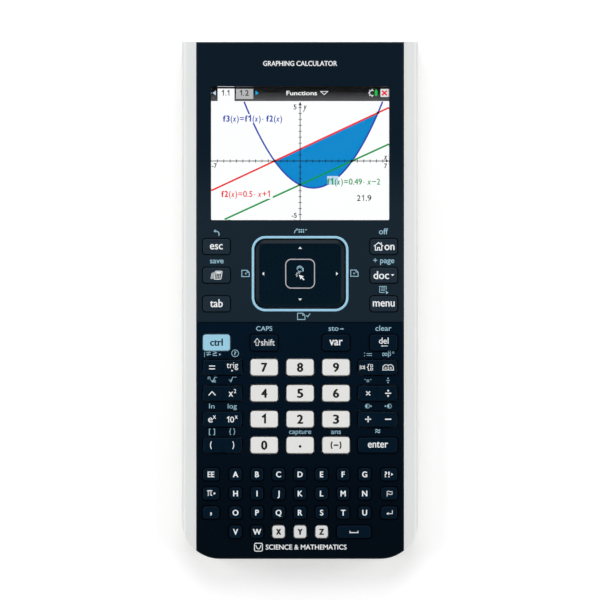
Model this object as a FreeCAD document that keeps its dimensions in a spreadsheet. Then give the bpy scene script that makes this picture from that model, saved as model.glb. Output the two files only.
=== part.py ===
import FreeCAD, Part
import math
import os
import re
import Sketcher

# Graphing calculator lying on its back.  Millimetres, +Z out of the face,
# +Y towards the display end, origin under the middle of the case.

# Driving dimensions: every size that can be chosen by itself.
SIZES = {
    # plan of the case
    "side_margin": 2.46,
    "rail_width": 5.25,
    "corner_radius": 13.9,
    "end_margin": 7.67,
    "display_gap": 5.8,
    "top_margin": 16.2,
    # levels through the thickness
    "foot_proud": 0.6,
    "floor_thickness": 1.8,
    "battery_play": 0.4,
    "board_thickness": 1.2,
    "keypad_space": 3.6,
    "face_thickness": 1.8,
    "faceplate_thickness": 0.6,
    # walls, rounding and clearances
    "case_wall": 1.8,
    "cavity_corner": 6.0,
    "base_rounding": 2.6,
    "face_rounding": 0.7,
    "plate_rounding": 0.3,
    "fit_gap": 0.15,
    "thread_gap": 0.05,
    # side rails
    "rail_wall": 2.0,
    "rail_shoulder": 1.9,
    "lip_width": 0.6,
    "lip_rise": 0.15,
    "lip_step": 0.2,
    "rail_fall": 0.5,
    "groove_depth": 1.1,
    "groove_height": 1.4,
    "groove_rise": 1.6,
    # keys
    "key_gap": 0.35,
    "key_corner": 1.0,
    "key_edge": 0.35,
    "key_proud": 0.9,
    "menu_proud": 0.5,
    "key_travel": 1.0,
    "flange_width": 0.6,
    "flange_thickness": 0.9,
    "flange_drop": 0.2,
    "plunger_radius": 0.7,
    "digit_width": 9.9,
    "digit_height": 5.93,
    "digit_pitch_x": 13.09,
    "digit_pitch_y": 9.46,
    "digit_offset": 16.6,
    "command_offset": 7.6,
    "column_gap": 3.1,
    "pair_width": 14.3,
    "pair_height": 5.5,
    "pair_groove": 0.3,
    "rocker_tab": 1.8,
    "menu_width": 9.84,
    "menu_height": 5.6,
    "menu_pitch": 10.45,
    "menu_offset": 6.55,
    "letter_width": 4.48,
    "letter_height": 4.53,
    "letter_pitch_x": 7.85,
    "letter_pitch_y": 6.98,
    "letter_drop": 10.65,
    "symbol_width": 5.9,
    "space_width": 12.3,
    # keypad membrane
    "membrane_thickness": 0.6,
    "collar_bore": 1.0,
    "collar_wall": 0.5,
    # touchpad
    "touchpad_width": 32.5,
    "touchpad_height": 24.7,
    "touchpad_corner": 3.6,
    "touchpad_thickness": 1.8,
    "touchpad_recess": 0.4,
    "touchpad_gap": 0.5,
    "touchpad_bevel": 1.3,
    "touchpad_bevel_fall": 0.35,
    "touchpad_offset": 17.55,
    "ring_width": 0.9,
    "ring_proud": 0.15,
    "ring_flange": 0.8,
    "sensor_thickness": 0.8,
    "sensor_inset": 1.2,
    "spring_thickness": 0.4,
    "post_radius": 2.0,
    "post_gap": 0.1,
    "dome_radius": 1.6,
    "dome_height": 0.3,
    "dome_gap": 0.5,
    # display
    "display_width": 65.0,
    "display_height": 48.8,
    "display_corner": 0.5,
    "window_flange": 1.8,
    "window_flange_thickness": 0.8,
    "window_recess": 0.45,
    "panel_thickness": 1.3,
    "frame_wall": 1.1,
    "cable_width": 16.0,
    "cable_thickness": 0.3,
    "cable_foot": 3.0,
    # battery, its door and contacts
    "battery_width": 42.0,
    "battery_length": 57.0,
    "battery_thickness": 5.4,
    "battery_shift": 3.0,
    "door_margin": 3.0,
    "door_tongue": 9.0,
    "door_thickness": 1.0,
    "cup_radius": 3.1,
    "cup_height": 1.4,
    "door_boss_wall": 1.2,
    "contact_width": 1.6,
    "contact_thickness": 0.8,
    "contact_pitch": 4.0,
    "contact_height": 4.2,
    # screws and their bosses
    "screw_radius": 1.0,
    "head_radius": 2.1,
    "head_height": 1.1,
    "head_depth": 2.3,
    "boss_radius": 2.5,
    "rear_boss_radius": 3.1,
    "tip_space": 0.8,
    "slot_length": 2.4,
    "slot_width": 0.5,
    # chips under the board
    "processor_size": 14.0,
    "memory_width": 16.0,
    "memory_height": 9.0,
    # sockets, feet and reset button
    "usb_width": 7.7,
    "usb_height": 3.5,
    "usb_depth": 9.0,
    "usb_wall": 0.4,
    "dock_width": 22.0,
    "dock_height": 3.0,
    "dock_depth": 4.0,
    "socket_recess": 0.4,
    "foot_radius": 4.0,
    "foot_seat": 0.5,
    "foot_inset_x": 8.5,
    "foot_inset_y": 21.0,
    "foot_rounding": 0.3,
    "reset_radius": 1.1,
    "reset_flange": 0.9,
    "reset_offset": 28.0,
    "reset_travel": 0.4,
}

# Places worked out from the driving dimensions, as expressions on the sheet.
COLUMN_EDGE = "(digit_pitch_x + digit_width / 2 + column_gap + pair_width)"
WINDOW_HALF_X = "(display_width / 2 + window_flange)"
WINDOW_HALF_Y = "(display_height / 2 + window_flange)"
FRAME_HALF_X = f"({WINDOW_HALF_X} + fit_gap + frame_wall)"
FRAME_HALF_Y = f"({WINDOW_HALF_Y} + fit_gap + frame_wall)"
FACE_HALF = f"max({COLUMN_EDGE} + side_margin; {FRAME_HALF_X} + fit_gap + case_wall)"
CASE_HALF_X = f"({FACE_HALF} + rail_width)"
KEY_EDGE = f"({FACE_HALF} - side_margin)"
RING_HALF_X = "(touchpad_width / 2 + touchpad_gap + ring_width)"
RING_HALF_Y = "(touchpad_height / 2 + touchpad_gap + ring_width)"

LOWER_LENGTH = (
    "(digit_offset + 3 * digit_pitch_y + letter_drop + 3 * letter_pitch_y"
    " + letter_height / 2 + end_margin)"
)
UPPER_LENGTH = f"(touchpad_offset + {RING_HALF_Y} + display_gap + display_height + top_margin)"
CASE_HALF_Y = f"(({LOWER_LENGTH} + {UPPER_LENGTH}) / 2)"
SEAM_Y = f"(({LOWER_LENGTH} - {UPPER_LENGTH}) / 2)"

COMMAND_Y = f"({SEAM_Y} - command_offset)"
DIGIT_Y = f"({SEAM_Y} - digit_offset)"
DIGIT_LAST_Y = f"({DIGIT_Y} - 3 * digit_pitch_y)"
LETTER_Y = f"({DIGIT_LAST_Y} - letter_drop)"
LETTER_LAST_Y = f"({LETTER_Y} - 3 * letter_pitch_y)"
MENU_Y = f"({SEAM_Y} + menu_offset)"
TOUCHPAD_Y = f"({SEAM_Y} + touchpad_offset)"
DISPLAY_Y = f"({CASE_HALF_Y} - top_margin - display_height / 2)"
PAIR_X = f"({KEY_EDGE} - pair_width / 2)"
OUTER_X = f"({KEY_EDGE} - digit_width / 2)"
SYMBOL_X = f"({KEY_EDGE} - symbol_width / 2)"
MENU_X = f"({KEY_EDGE} - menu_width / 2)"
SPACE_X = "(2.5 * letter_pitch_x)"

FLOOR_TOP = "(foot_proud + floor_thickness)"
BATTERY_SPACE = "(battery_thickness + battery_play)"
BOARD_BASE = f"({FLOOR_TOP} + {BATTERY_SPACE})"
BOARD_TOP = f"({BOARD_BASE} + board_thickness)"
SPLIT = f"({BOARD_BASE} + board_thickness / 2)"
PLATE_BASE = f"({BOARD_TOP} + keypad_space)"
FACE_TOP = f"({PLATE_BASE} + face_thickness)"
UPPER_TOP = f"({FACE_TOP} + faceplate_thickness)"
LIP_TOP = f"({UPPER_TOP} + lip_rise)"
KEY_TOP = f"({FACE_TOP} + key_proud)"
MENU_TOP = f"({UPPER_TOP} + menu_proud)"
FLANGE_TOP = f"({PLATE_BASE} - flange_drop)"
FLANGE_BASE = f"({FLANGE_TOP} - flange_thickness)"
PLUNGER_BASE = f"({BOARD_TOP} + key_travel + flange_drop / 2)"
COLLAR_TOP = f"({FLANGE_BASE} - key_travel - flange_drop)"
WINDOW_BASE = f"({PLATE_BASE} - window_flange_thickness)"
TOUCHPAD_TOP = f"({UPPER_TOP} - touchpad_recess)"
TOUCHPAD_BASE = f"({TOUCHPAD_TOP} - touchpad_thickness)"
TOUCHPAD_STACK = "(touchpad_thickness + sensor_thickness + spring_thickness)"
TILT_SPACE = f"(({TOUCHPAD_TOP} - {TOUCHPAD_STACK} - {BOARD_TOP} - dome_height - dome_gap) / 2)"
SENSOR_TOP = f"({TOUCHPAD_BASE} - {TILT_SPACE})"
SENSOR_BASE = f"({SENSOR_TOP} - sensor_thickness)"
SPRING_TOP = f"({SENSOR_BASE} - {TILT_SPACE})"
SPRING_BASE = f"({SPRING_TOP} - spring_thickness)"

BATTERY_Y = f"({DISPLAY_Y} - battery_shift)"
BATTERY_FOOT_Y = f"({BATTERY_Y} - battery_length / 2)"
BATTERY_HEAD_Y = f"({BATTERY_Y} + battery_length / 2)"
BATTERY_TOP = f"({BOARD_BASE} - fit_gap)"
BATTERY_BASE = f"({BATTERY_TOP} - battery_thickness)"
DOOR_HALF_X = "(battery_width / 2 + door_margin)"
DOOR_FOOT_Y = f"({BATTERY_FOOT_Y} - door_margin)"
DOOR_HEAD_Y = f"({BATTERY_HEAD_Y} + door_tongue)"
DOOR_BASE = "foot_proud"
DOOR_TOP = "(foot_proud + door_thickness)"
CUP_TOP = f"({DOOR_TOP} + cup_height)"
DOOR_BOSS_RADIUS = "(cup_radius + fit_gap + door_boss_wall)"
DOOR_SCREW_X = f"({DOOR_HALF_X} - cup_radius - fit_gap - door_boss_wall)"
DOOR_SCREW_Y = f"({BATTERY_HEAD_Y} + fit_gap + {DOOR_BOSS_RADIUS})"
DOOR_BOSS_TOP = f"({BOARD_BASE} - 1.5 * tip_space)"

# Housing screws on the right-hand side: display end, seam and keypad end.
SCREW_PLACES = (
    (f"({FACE_HALF} - case_wall - 2 * boss_radius)", f"({CASE_HALF_Y} - top_margin / 2 + 1)"),
    (f"({OUTER_X} - fit_gap)", f"(({MENU_Y} - menu_height / 2 + {COMMAND_Y} + digit_height / 2) / 2)"),
    ("(3 * letter_pitch_x)", f"(case_wall + boss_radius - 2 * fit_gap - {CASE_HALF_Y})"),
)
SCREW_TOP = f"({PLATE_BASE} - tip_space)"

# Key families: one opening and one or two collars are patterned over each.
# x and y place the key in the lowest row, furthest left, or on the right if mirrored.
PLAIN = dict(columns=1, rows=1, mirrored=False, plungers=("0",), upper=False)
KEY_FAMILIES = {
    "digit": dict(PLAIN, width="digit_width", height="digit_height", x="-digit_pitch_x",
                  y=DIGIT_LAST_Y, columns=3, rows=4, pitch_x="digit_pitch_x", pitch_y="digit_pitch_y"),
    "inner_command": dict(PLAIN, width="digit_width", height="digit_height", x="digit_pitch_x",
                          y=COMMAND_Y, mirrored=True),
    "outer_command": dict(PLAIN, width="digit_width", height="digit_height", x=OUTER_X,
                          y=COMMAND_Y, mirrored=True),
    "pair": dict(PLAIN, width="pair_width", height="pair_height", x=PAIR_X, y=DIGIT_LAST_Y,
                 rows=4, pitch_y="digit_pitch_y", mirrored=True,
                 plungers=("-pair_width / 4", "pair_width / 4")),
    "letter": dict(PLAIN, width="letter_width", height="letter_height", x="-3 * letter_pitch_x",
                   y=f"{LETTER_LAST_Y} + letter_pitch_y", columns=7, rows=3,
                   pitch_x="letter_pitch_x", pitch_y="letter_pitch_y"),
    "last_letter": dict(PLAIN, width="letter_width", height="letter_height",
                        x="-3 * letter_pitch_x", y=LETTER_LAST_Y, columns=5, pitch_x="letter_pitch_x"),
    "space": dict(PLAIN, width="space_width", height="letter_height", x=SPACE_X, y=LETTER_LAST_Y),
    "symbol": dict(PLAIN, width="symbol_width", height="letter_height", x=SYMBOL_X,
                   y=f"{LETTER_LAST_Y} + letter_pitch_y", rows=3, pitch_y="letter_pitch_y",
                   mirrored=True),
    "menu": dict(PLAIN, width="menu_width", height="menu_height", x=MENU_X, y=MENU_Y, rows=3,
                 pitch_y="menu_pitch", mirrored=True, upper=True),
}

os.makedirs("parts", exist_ok=True)
doc = FreeCAD.newDocument("GraphingCalculator")
sheet = doc.addObject("Spreadsheet::Sheet", "sizes")
for row, (alias, value) in enumerate(SIZES.items(), start=1):
    sheet.set(f"A{row}", alias)
    sheet.set(f"B{row}", str(value))
    sheet.setAlias(f"B{row}", alias)
doc.recompute()

nodes = []


# small tools

def on_sheet(expression):
    """The same expression with every alias written as a cell of the sheet."""
    return re.sub(r"[a-z]+(_[a-z]+)+", lambda word: "sizes." + word.group(0), expression)


def bind(thing, prop, expression):
    thing.setExpression(prop, on_sheet(expression))


def size(expression):
    """The present value of an expression, for starting geometry and for picking edges."""
    return float(sheet.evalExpression(expression))


def new_body(name):
    body = doc.addObject("PartDesign::Body", name)
    body.Label = name
    return body


def node(thing, name):
    """Marks a finished object as a sub-part: its label names its file."""
    thing.Label = name
    nodes.append(thing)
    return thing


def base_plane(body, role):
    return next(item for item in body.Origin.OriginFeatures if item.Role == role)


def new_sketch(body, name, level, x="0", y="0", plane="XY_Plane"):
    sketch = body.newObject("Sketcher::SketchObject", name)
    sketch.AttachmentSupport = [(base_plane(body, plane), "")]
    sketch.MapMode = "FlatFace"
    bind(sketch, "AttachmentOffset.Base.x", x)
    bind(sketch, "AttachmentOffset.Base.y", y)
    bind(sketch, "AttachmentOffset.Base.z", level)
    return sketch


def dimension(sketch, name, constraint, expression):
    """Adds a named dimension to a sketch and ties it to the sheet."""
    sketch.renameConstraint(sketch.addConstraint(constraint), name)
    bind(sketch, f"Constraints.{name}", expression)


def rectangle(body, name, level, width, height, corner=None, x="0", y="0"):
    """Sketch of a rectangle centred on x, y, with rounded corners if asked."""
    sketch = new_sketch(body, name, level, x, y)
    half_x, half_y = size(width) / 2, size(height) / 2
    radius = size(corner) if corner else 0.0
    ends = (
        ((radius - half_x, -half_y), (half_x - radius, -half_y)),
        ((half_x, radius - half_y), (half_x, half_y - radius)),
        ((half_x - radius, half_y), (radius - half_x, half_y)),
        ((-half_x, half_y - radius), (-half_x, radius - half_y)),
    )
    for start, end in ends:
        sketch.addGeometry(Part.LineSegment(FreeCAD.Vector(*start, 0), FreeCAD.Vector(*end, 0)))
    rules = [Sketcher.Constraint("Horizontal", 0), Sketcher.Constraint("Horizontal", 2)]
    rules += [Sketcher.Constraint("Vertical", 1), Sketcher.Constraint("Vertical", 3)]
    if corner:
        for turn, (side_x, side_y) in enumerate(((1, -1), (1, 1), (-1, 1), (-1, -1))):
            centre = FreeCAD.Vector(side_x * (half_x - radius), side_y * (half_y - radius), 0)
            circle = Part.Circle(centre, FreeCAD.Vector(0, 0, 1), radius)
            start = (turn - 1) * math.pi / 2
            sketch.addGeometry(Part.ArcOfCircle(circle, start, start + math.pi / 2))
            rules.append(Sketcher.Constraint("Tangent", turn, 2, 4 + turn, 1))
            rules.append(Sketcher.Constraint("Tangent", 4 + turn, 2, (turn + 1) % 4, 1))
        rules += [Sketcher.Constraint("Equal", 4, turn) for turn in (5, 6)]
        rules.append(Sketcher.Constraint("Symmetric", 4, 3, 6, 3, -1, 1))
    else:
        rules += [Sketcher.Constraint("Coincident", side, 2, (side + 1) % 4, 1) for side in range(4)]
        rules.append(Sketcher.Constraint("Symmetric", 0, 1, 2, 1, -1, 1))
    sketch.addConstraint(rules)
    if corner:
        dimension(sketch, "corner", Sketcher.Constraint("Radius", 4, radius), corner)
    dimension(sketch, "width", Sketcher.Constraint("DistanceX", 3, 1, 1, 1, 2 * half_x), width)
    dimension(sketch, "height", Sketcher.Constraint("DistanceY", 0, 1, 2, 1, 2 * half_y), height)
    return sketch


def span(body, name, level, x_span, y_span, corner=None):
    """Rectangle sketch between two places across and two places along."""
    width = f"({x_span[1]} - ({x_span[0]}))"
    height = f"({y_span[1]} - ({y_span[0]}))"
    x = f"({x_span[0]} + {x_span[1]}) / 2"
    y = f"({y_span[0]} + {y_span[1]}) / 2"
    return rectangle(body, name, level, width, height, corner, x, y)


def circle(body, name, level, radius, x="0", y="0"):
    sketch = new_sketch(body, name, level, x, y)
    around = Part.Circle(FreeCAD.Vector(0, 0, 0), FreeCAD.Vector(0, 0, 1), size(radius))
    sketch.addGeometry(around)
    sketch.addConstraint(Sketcher.Constraint("Coincident", 0, 3, -1, 1))
    dimension(sketch, "radius", Sketcher.Constraint("Radius", 0, size(radius)), radius)
    return sketch


def polygon(body, name, points, plane="XZ_Plane"):
    """Closed sketch through points right of and above the origin of the plane."""
    sketch = new_sketch(body, name, "0", plane=plane)
    places = [FreeCAD.Vector(size(across), size(up), 0) for across, up in points]
    count = len(places)
    for index, place in enumerate(places):
        sketch.addGeometry(Part.LineSegment(place, places[(index + 1) % count]))
    for index in range(count):
        sketch.addConstraint(Sketcher.Constraint("Coincident", index, 2, (index + 1) % count, 1))
    for index, (across, up) in enumerate(points):
        level_x = Sketcher.Constraint("DistanceX", -1, 1, index, 1, places[index].x)
        level_y = Sketcher.Constraint("DistanceY", -1, 1, index, 1, places[index].y)
        dimension(sketch, f"across{index}", level_x, across)
        dimension(sketch, f"up{index}", level_y, up)
    return sketch


def case_outline(body, name, level, inset="0"):
    """Plan of the case: square corners at the display end, round at the keypad end."""
    sketch = new_sketch(body, name, level)
    half_x = f"({CASE_HALF_X} - {inset})"
    half_y = f"({CASE_HALF_Y} - {inset})"
    corner = f"(corner_radius - {inset})"
    wide, long, radius = size(half_x), size(half_y), size(corner)
    ends = (
        ((radius - wide, -long), (wide - radius, -long)),
        ((wide, radius - long), (wide, long)),
        ((wide, long), (-wide, long)),
        ((-wide, long), (-wide, radius - long)),
    )
    for start, end in ends:
        sketch.addGeometry(Part.LineSegment(FreeCAD.Vector(*start, 0), FreeCAD.Vector(*end, 0)))
    for side, start in ((1, -math.pi / 2), (-1, math.pi)):
        centre = FreeCAD.Vector(side * (wide - radius), radius - long, 0)
        round_corner = Part.Circle(centre, FreeCAD.Vector(0, 0, 1), radius)
        sketch.addGeometry(Part.ArcOfCircle(round_corner, start, start + math.pi / 2))
    sketch.addConstraint([
        Sketcher.Constraint("Horizontal", 0),
        Sketcher.Constraint("Vertical", 1),
        Sketcher.Constraint("Vertical", 3),
        Sketcher.Constraint("Coincident", 1, 2, 2, 1),
        Sketcher.Constraint("Coincident", 2, 2, 3, 1),
        Sketcher.Constraint("Tangent", 0, 2, 4, 1),
        Sketcher.Constraint("Tangent", 4, 2, 1, 1),
        Sketcher.Constraint("Tangent", 3, 2, 5, 1),
        Sketcher.Constraint("Tangent", 5, 2, 0, 1),
        Sketcher.Constraint("Equal", 4, 5),
        Sketcher.Constraint("Symmetric", 2, 1, 2, 2, -2),
    ])
    dimension(sketch, "corner", Sketcher.Constraint("Radius", 4, radius), corner)
    dimension(sketch, "half_width", Sketcher.Constraint("DistanceX", -1, 1, 2, 1, wide), half_x)
    dimension(sketch, "half_top", Sketcher.Constraint("DistanceY", -1, 1, 2, 1, long), half_y)
    dimension(sketch, "half_end", Sketcher.Constraint("DistanceY", 0, 1, -1, 1, long), half_y)
    return sketch


def pad(body, sketch, length, name, both_ways=False):
    feature = body.newObject("PartDesign::Pad", name)
    feature.Profile = sketch
    feature.SideType = "Symmetric" if both_ways else "One side"
    bind(feature, "Length", length)
    body.Tip = feature
    return feature


def pocket(body, sketch, length, name, upwards=False, both_ways=False):
    """Cuts down from its sketch, or up, or both ways about it."""
    feature = body.newObject("PartDesign::Pocket", name)
    feature.Profile = sketch
    feature.SideType = "Symmetric" if both_ways else "One side"
    feature.Reversed = upwards
    bind(feature, "Length", length)
    body.Tip = feature
    return feature


def edges_where(feature, wanted):
    """Names of a feature's edges that answer a test on their end points."""
    doc.recompute()
    names = []
    for index, edge in enumerate(feature.Shape.Edges, start=1):
        if wanted([vertex.Point for vertex in edge.Vertexes]):
            names.append(f"Edge{index}")
    return names


def fillet(body, feature, wanted, radius, name):
    rounding = body.newObject("PartDesign::Fillet", name)
    rounding.Base = (feature, edges_where(feature, wanted))
    bind(rounding, "Radius", radius)
    body.Tip = rounding
    return rounding


def at_level(level):
    height = size(level)
    return lambda points: all(abs(point.z - height) < 1e-4 for point in points)


def mirror(body, features, name, plane="YZ_Plane"):
    copy = body.newObject("PartDesign::Mirrored", name)
    copy.Originals = features
    copy.MirrorPlane = (base_plane(body, plane), [""])
    body.Tip = copy
    return copy


def pattern(body, sketch, axis, pitch, count, name):
    """One step of a pattern along an axis of a sketch."""
    step = doc.addObject("PartDesign::LinearPattern", name)
    body.addObject(step)
    step.Direction = (sketch, [axis])
    step.Mode = "Spacing"
    bind(step, "Offset", pitch)
    step.Occurrences = count
    return step


def spread(body, sketch, family):
    """Repeats a whole body over every key of its family."""
    doc.recompute()
    steps = []
    if family["columns"] > 1:
        steps.append(pattern(body, sketch, "H_Axis", family["pitch_x"], family["columns"], "columns"))
    if family["rows"] > 1:
        steps.append(pattern(body, sketch, "V_Axis", family["pitch_y"], family["rows"], "rows"))
    if family["mirrored"]:
        side = doc.addObject("PartDesign::Mirrored", "sides")
        body.addObject(side)
        side.MirrorPlane = (base_plane(body, "YZ_Plane"), [""])
        steps.append(side)
    if steps:
        whole = body.newObject("PartDesign::MultiTransform", "all_keys")
        whole.TransformMode = "Whole shape"
        whole.Transformations = steps
        body.Tip = whole
    return body


def compound(name, things):
    group = doc.addObject("Part::Compound", name)
    group.Links = things
    return group


def cut(name, base, tool):
    remainder = doc.addObject("Part::Cut", name)
    remainder.Base = base
    remainder.Tool = tool
    return remainder


def solid_box(name, x_span, y_span, z_span, corner=None):
    """Body of one padded rectangle."""
    body = new_body(name)
    sketch = span(body, f"{name}_outline", z_span[0], x_span, y_span, corner)
    pad(body, sketch, f"({z_span[1]} - {z_span[0]})", f"{name}_pad")
    return body


def both_sides(half):
    return (f"-({half})", half)


def around(place, half):
    return (f"{place} - ({half})", f"{place} + ({half})")


# case

def rear_housing():
    body = new_body("rear_housing")
    tray = pad(body, case_outline(body, "tray_outline", "foot_proud"),
               f"({SPLIT} - foot_proud)", "tray")
    fillet(body, tray, at_level("foot_proud"), "base_rounding", "tray_rounding")
    hollow = case_outline(body, "tray_hollow_outline", SPLIT, "case_wall")
    pocket(body, hollow, f"({SPLIT} - {FLOOR_TOP})", "tray_hollow")
    bosses = []
    for index, (x, y) in enumerate(SCREW_PLACES):
        ring = circle(body, f"boss_outline{index}", FLOOR_TOP, "rear_boss_radius", x, y)
        bosses.append(pad(body, ring, BATTERY_SPACE, f"boss{index}"))
    mirror(body, bosses, "bosses")
    ring = circle(body, "door_boss_outline", FLOOR_TOP, DOOR_BOSS_RADIUS, DOOR_SCREW_X, DOOR_SCREW_Y)
    door_boss = pad(body, ring, f"({DOOR_BOSS_TOP} - {FLOOR_TOP})", "door_boss")
    mirror(body, [door_boss], "door_bosses")
    bores = []
    for index, (x, y) in enumerate(SCREW_PLACES):
        bore = circle(body, f"head_outline{index}", "foot_proud", "(head_radius + fit_gap)", x, y)
        bores.append(pocket(body, bore, "(head_depth + head_height)", f"head_bore{index}", True))
        bore = circle(body, f"shank_outline{index}", "foot_proud", "(screw_radius + thread_gap)", x, y)
        bores.append(pocket(body, bore, f"({BOARD_BASE} - foot_proud)", f"shank_bore{index}", True))
    recess = span(body, "door_recess_outline", "foot_proud", both_sides(f"{DOOR_HALF_X} + fit_gap"),
                  (f"{DOOR_FOOT_Y} - fit_gap", f"{DOOR_HEAD_Y} + fit_gap"), "key_corner")
    opening = span(body, "bay_outline", "foot_proud", both_sides("battery_width / 2 + 2 * fit_gap"),
                   (f"{BATTERY_FOOT_Y} - 2 * fit_gap - contact_thickness", f"{BATTERY_HEAD_Y} + fit_gap / 2"))
    cup = circle(body, "cup_outline", "foot_proud", "(cup_radius + fit_gap)", DOOR_SCREW_X, DOOR_SCREW_Y)
    cup_bore = pocket(body, cup, f"({CUP_TOP} + fit_gap - foot_proud)", "cup_bore", True)
    thread = circle(body, "thread_outline", "foot_proud", "(screw_radius + fit_gap)",
                    DOOR_SCREW_X, DOOR_SCREW_Y)
    thread_bore = pocket(body, thread, f"({DOOR_BOSS_TOP} - tip_space - foot_proud)", "thread_bore", True)
    seat = circle(body, "foot_outline", "foot_proud", "foot_radius",
                  f"{CASE_HALF_X} - foot_inset_x", f"{CASE_HALF_Y} - foot_inset_y")
    seats = [pocket(body, seat, "foot_seat", "front_seat", True)]
    seat = circle(body, "rear_foot_outline", "foot_proud", "foot_radius",
                  f"{CASE_HALF_X} - foot_inset_x", f"foot_inset_y - {CASE_HALF_Y}")
    seats.append(pocket(body, seat, "foot_seat", "rear_seat", True))
    mirror(body, bores + [cup_bore, thread_bore] + seats, "bores")
    pocket(body, recess, "(door_thickness + fit_gap)", "door_recess", True)
    pocket(body, opening, "(floor_thickness + fit_gap)", "bay_opening", True)
    reset = circle(body, "reset_outline", "foot_proud", "(reset_radius + fit_gap)",
                   y=f"{SEAM_Y} - reset_offset")
    pocket(body, reset, "(floor_thickness + fit_gap)", "reset_bore", True)
    usb = span(body, "usb_outline", f"{BOARD_BASE} - usb_height - fit_gap",
               both_sides("usb_width / 2 + fit_gap"),
               (f"{CASE_HALF_Y} - 2 * case_wall", f"{CASE_HALF_Y} + case_wall"))
    pocket(body, usb, "(usb_height + 2 * fit_gap)", "usb_opening", True)
    dock = span(body, "dock_outline", f"{BOARD_BASE} - dock_height - fit_gap",
                both_sides("dock_width / 2 + fit_gap"),
                (f"-{CASE_HALF_Y} - case_wall", f"2 * case_wall - {CASE_HALF_Y}"))
    pocket(body, dock, "(dock_height + 2 * fit_gap)", "dock_opening", True)
    node(body, "rear_housing")


def face_openings():
    """Everything that passes through the face: keys, display window and touchpad ring."""
    depth = f"({UPPER_TOP} - {PLATE_BASE} + 2 * face_thickness)"
    level = f"({PLATE_BASE} - face_thickness)"
    tools = []
    for name, family in KEY_FAMILIES.items():
        body = new_body(f"{name}_openings")
        sketch = rectangle(body, "opening_outline", level, f"({family['width']} + 2 * key_gap)",
                           f"({family['height']} + 2 * key_gap)", "(key_corner + key_gap)",
                           family["x"], family["y"])
        pad(body, sketch, depth, "opening")
        tools.append(spread(body, sketch, family))
    body = new_body("window_opening")
    sketch = rectangle(body, "opening_outline", level, "display_width", "display_height",
                       "display_corner", y=DISPLAY_Y)
    pad(body, sketch, depth, "opening")
    tools.append(body)
    body = new_body("ring_opening")
    sketch = rectangle(body, "opening_outline", level, f"2 * {RING_HALF_X}", f"2 * {RING_HALF_Y}",
                       "(touchpad_corner + touchpad_gap + ring_width)", y=TOUCHPAD_Y)
    pad(body, sketch, depth, "opening")
    tools.append(body)
    return compound("face_openings", tools)


def front_housing(openings):
    body = new_body("front_shell")
    pad(body, case_outline(body, "shell_outline", SPLIT), f"({FACE_TOP} - {SPLIT})", "shell")
    strip = span(body, "rail_strip_outline", FACE_TOP, (FACE_HALF, f"{CASE_HALF_X} + rail_width"),
                 both_sides(f"{CASE_HALF_Y} + rail_width"))
    side = pocket(body, strip, f"({FACE_TOP} - {SPLIT})", "rail_strip")
    shell = mirror(body, [side], "rail_strips")
    fillet(body, shell, at_level(FACE_TOP), "face_rounding", "shell_rounding")
    hollow = span(body, "shell_hollow_outline", SPLIT, both_sides(f"{FACE_HALF} - case_wall"),
                  both_sides(f"{CASE_HALF_Y} - case_wall"), "cavity_corner")
    pocket(body, hollow, f"({PLATE_BASE} - {SPLIT})", "shell_hollow", True)
    features = []
    for index, (x, y) in enumerate(SCREW_PLACES):
        ring = circle(body, f"boss_outline{index}", BOARD_TOP, "boss_radius", x, y)
        features.append(pad(body, ring, "keypad_space", f"boss{index}"))
    mirror(body, features, "bosses")
    features = []
    for index, (x, y) in enumerate(SCREW_PLACES):
        bore = circle(body, f"thread_outline{index}", BOARD_TOP, "(screw_radius + thread_gap)", x, y)
        features.append(pocket(body, bore, "(keypad_space - tip_space / 2)", f"thread_bore{index}", True))
    mirror(body, features, "thread_bores")
    node(cut("front_housing", body, openings), "front_housing")


def upper_faceplate(openings):
    body = new_body("faceplate_blank")
    sketch = span(body, "plate_outline", FACE_TOP, both_sides(f"{FACE_HALF} - face_rounding / 3"),
                  (SEAM_Y, f"{CASE_HALF_Y} - face_rounding / 3"), "display_corner")
    plate = pad(body, sketch, "faceplate_thickness", "plate")
    fillet(body, plate, at_level(UPPER_TOP), "plate_rounding", "plate_edge")
    node(cut("upper_faceplate", body, openings), "upper_faceplate")


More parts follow.
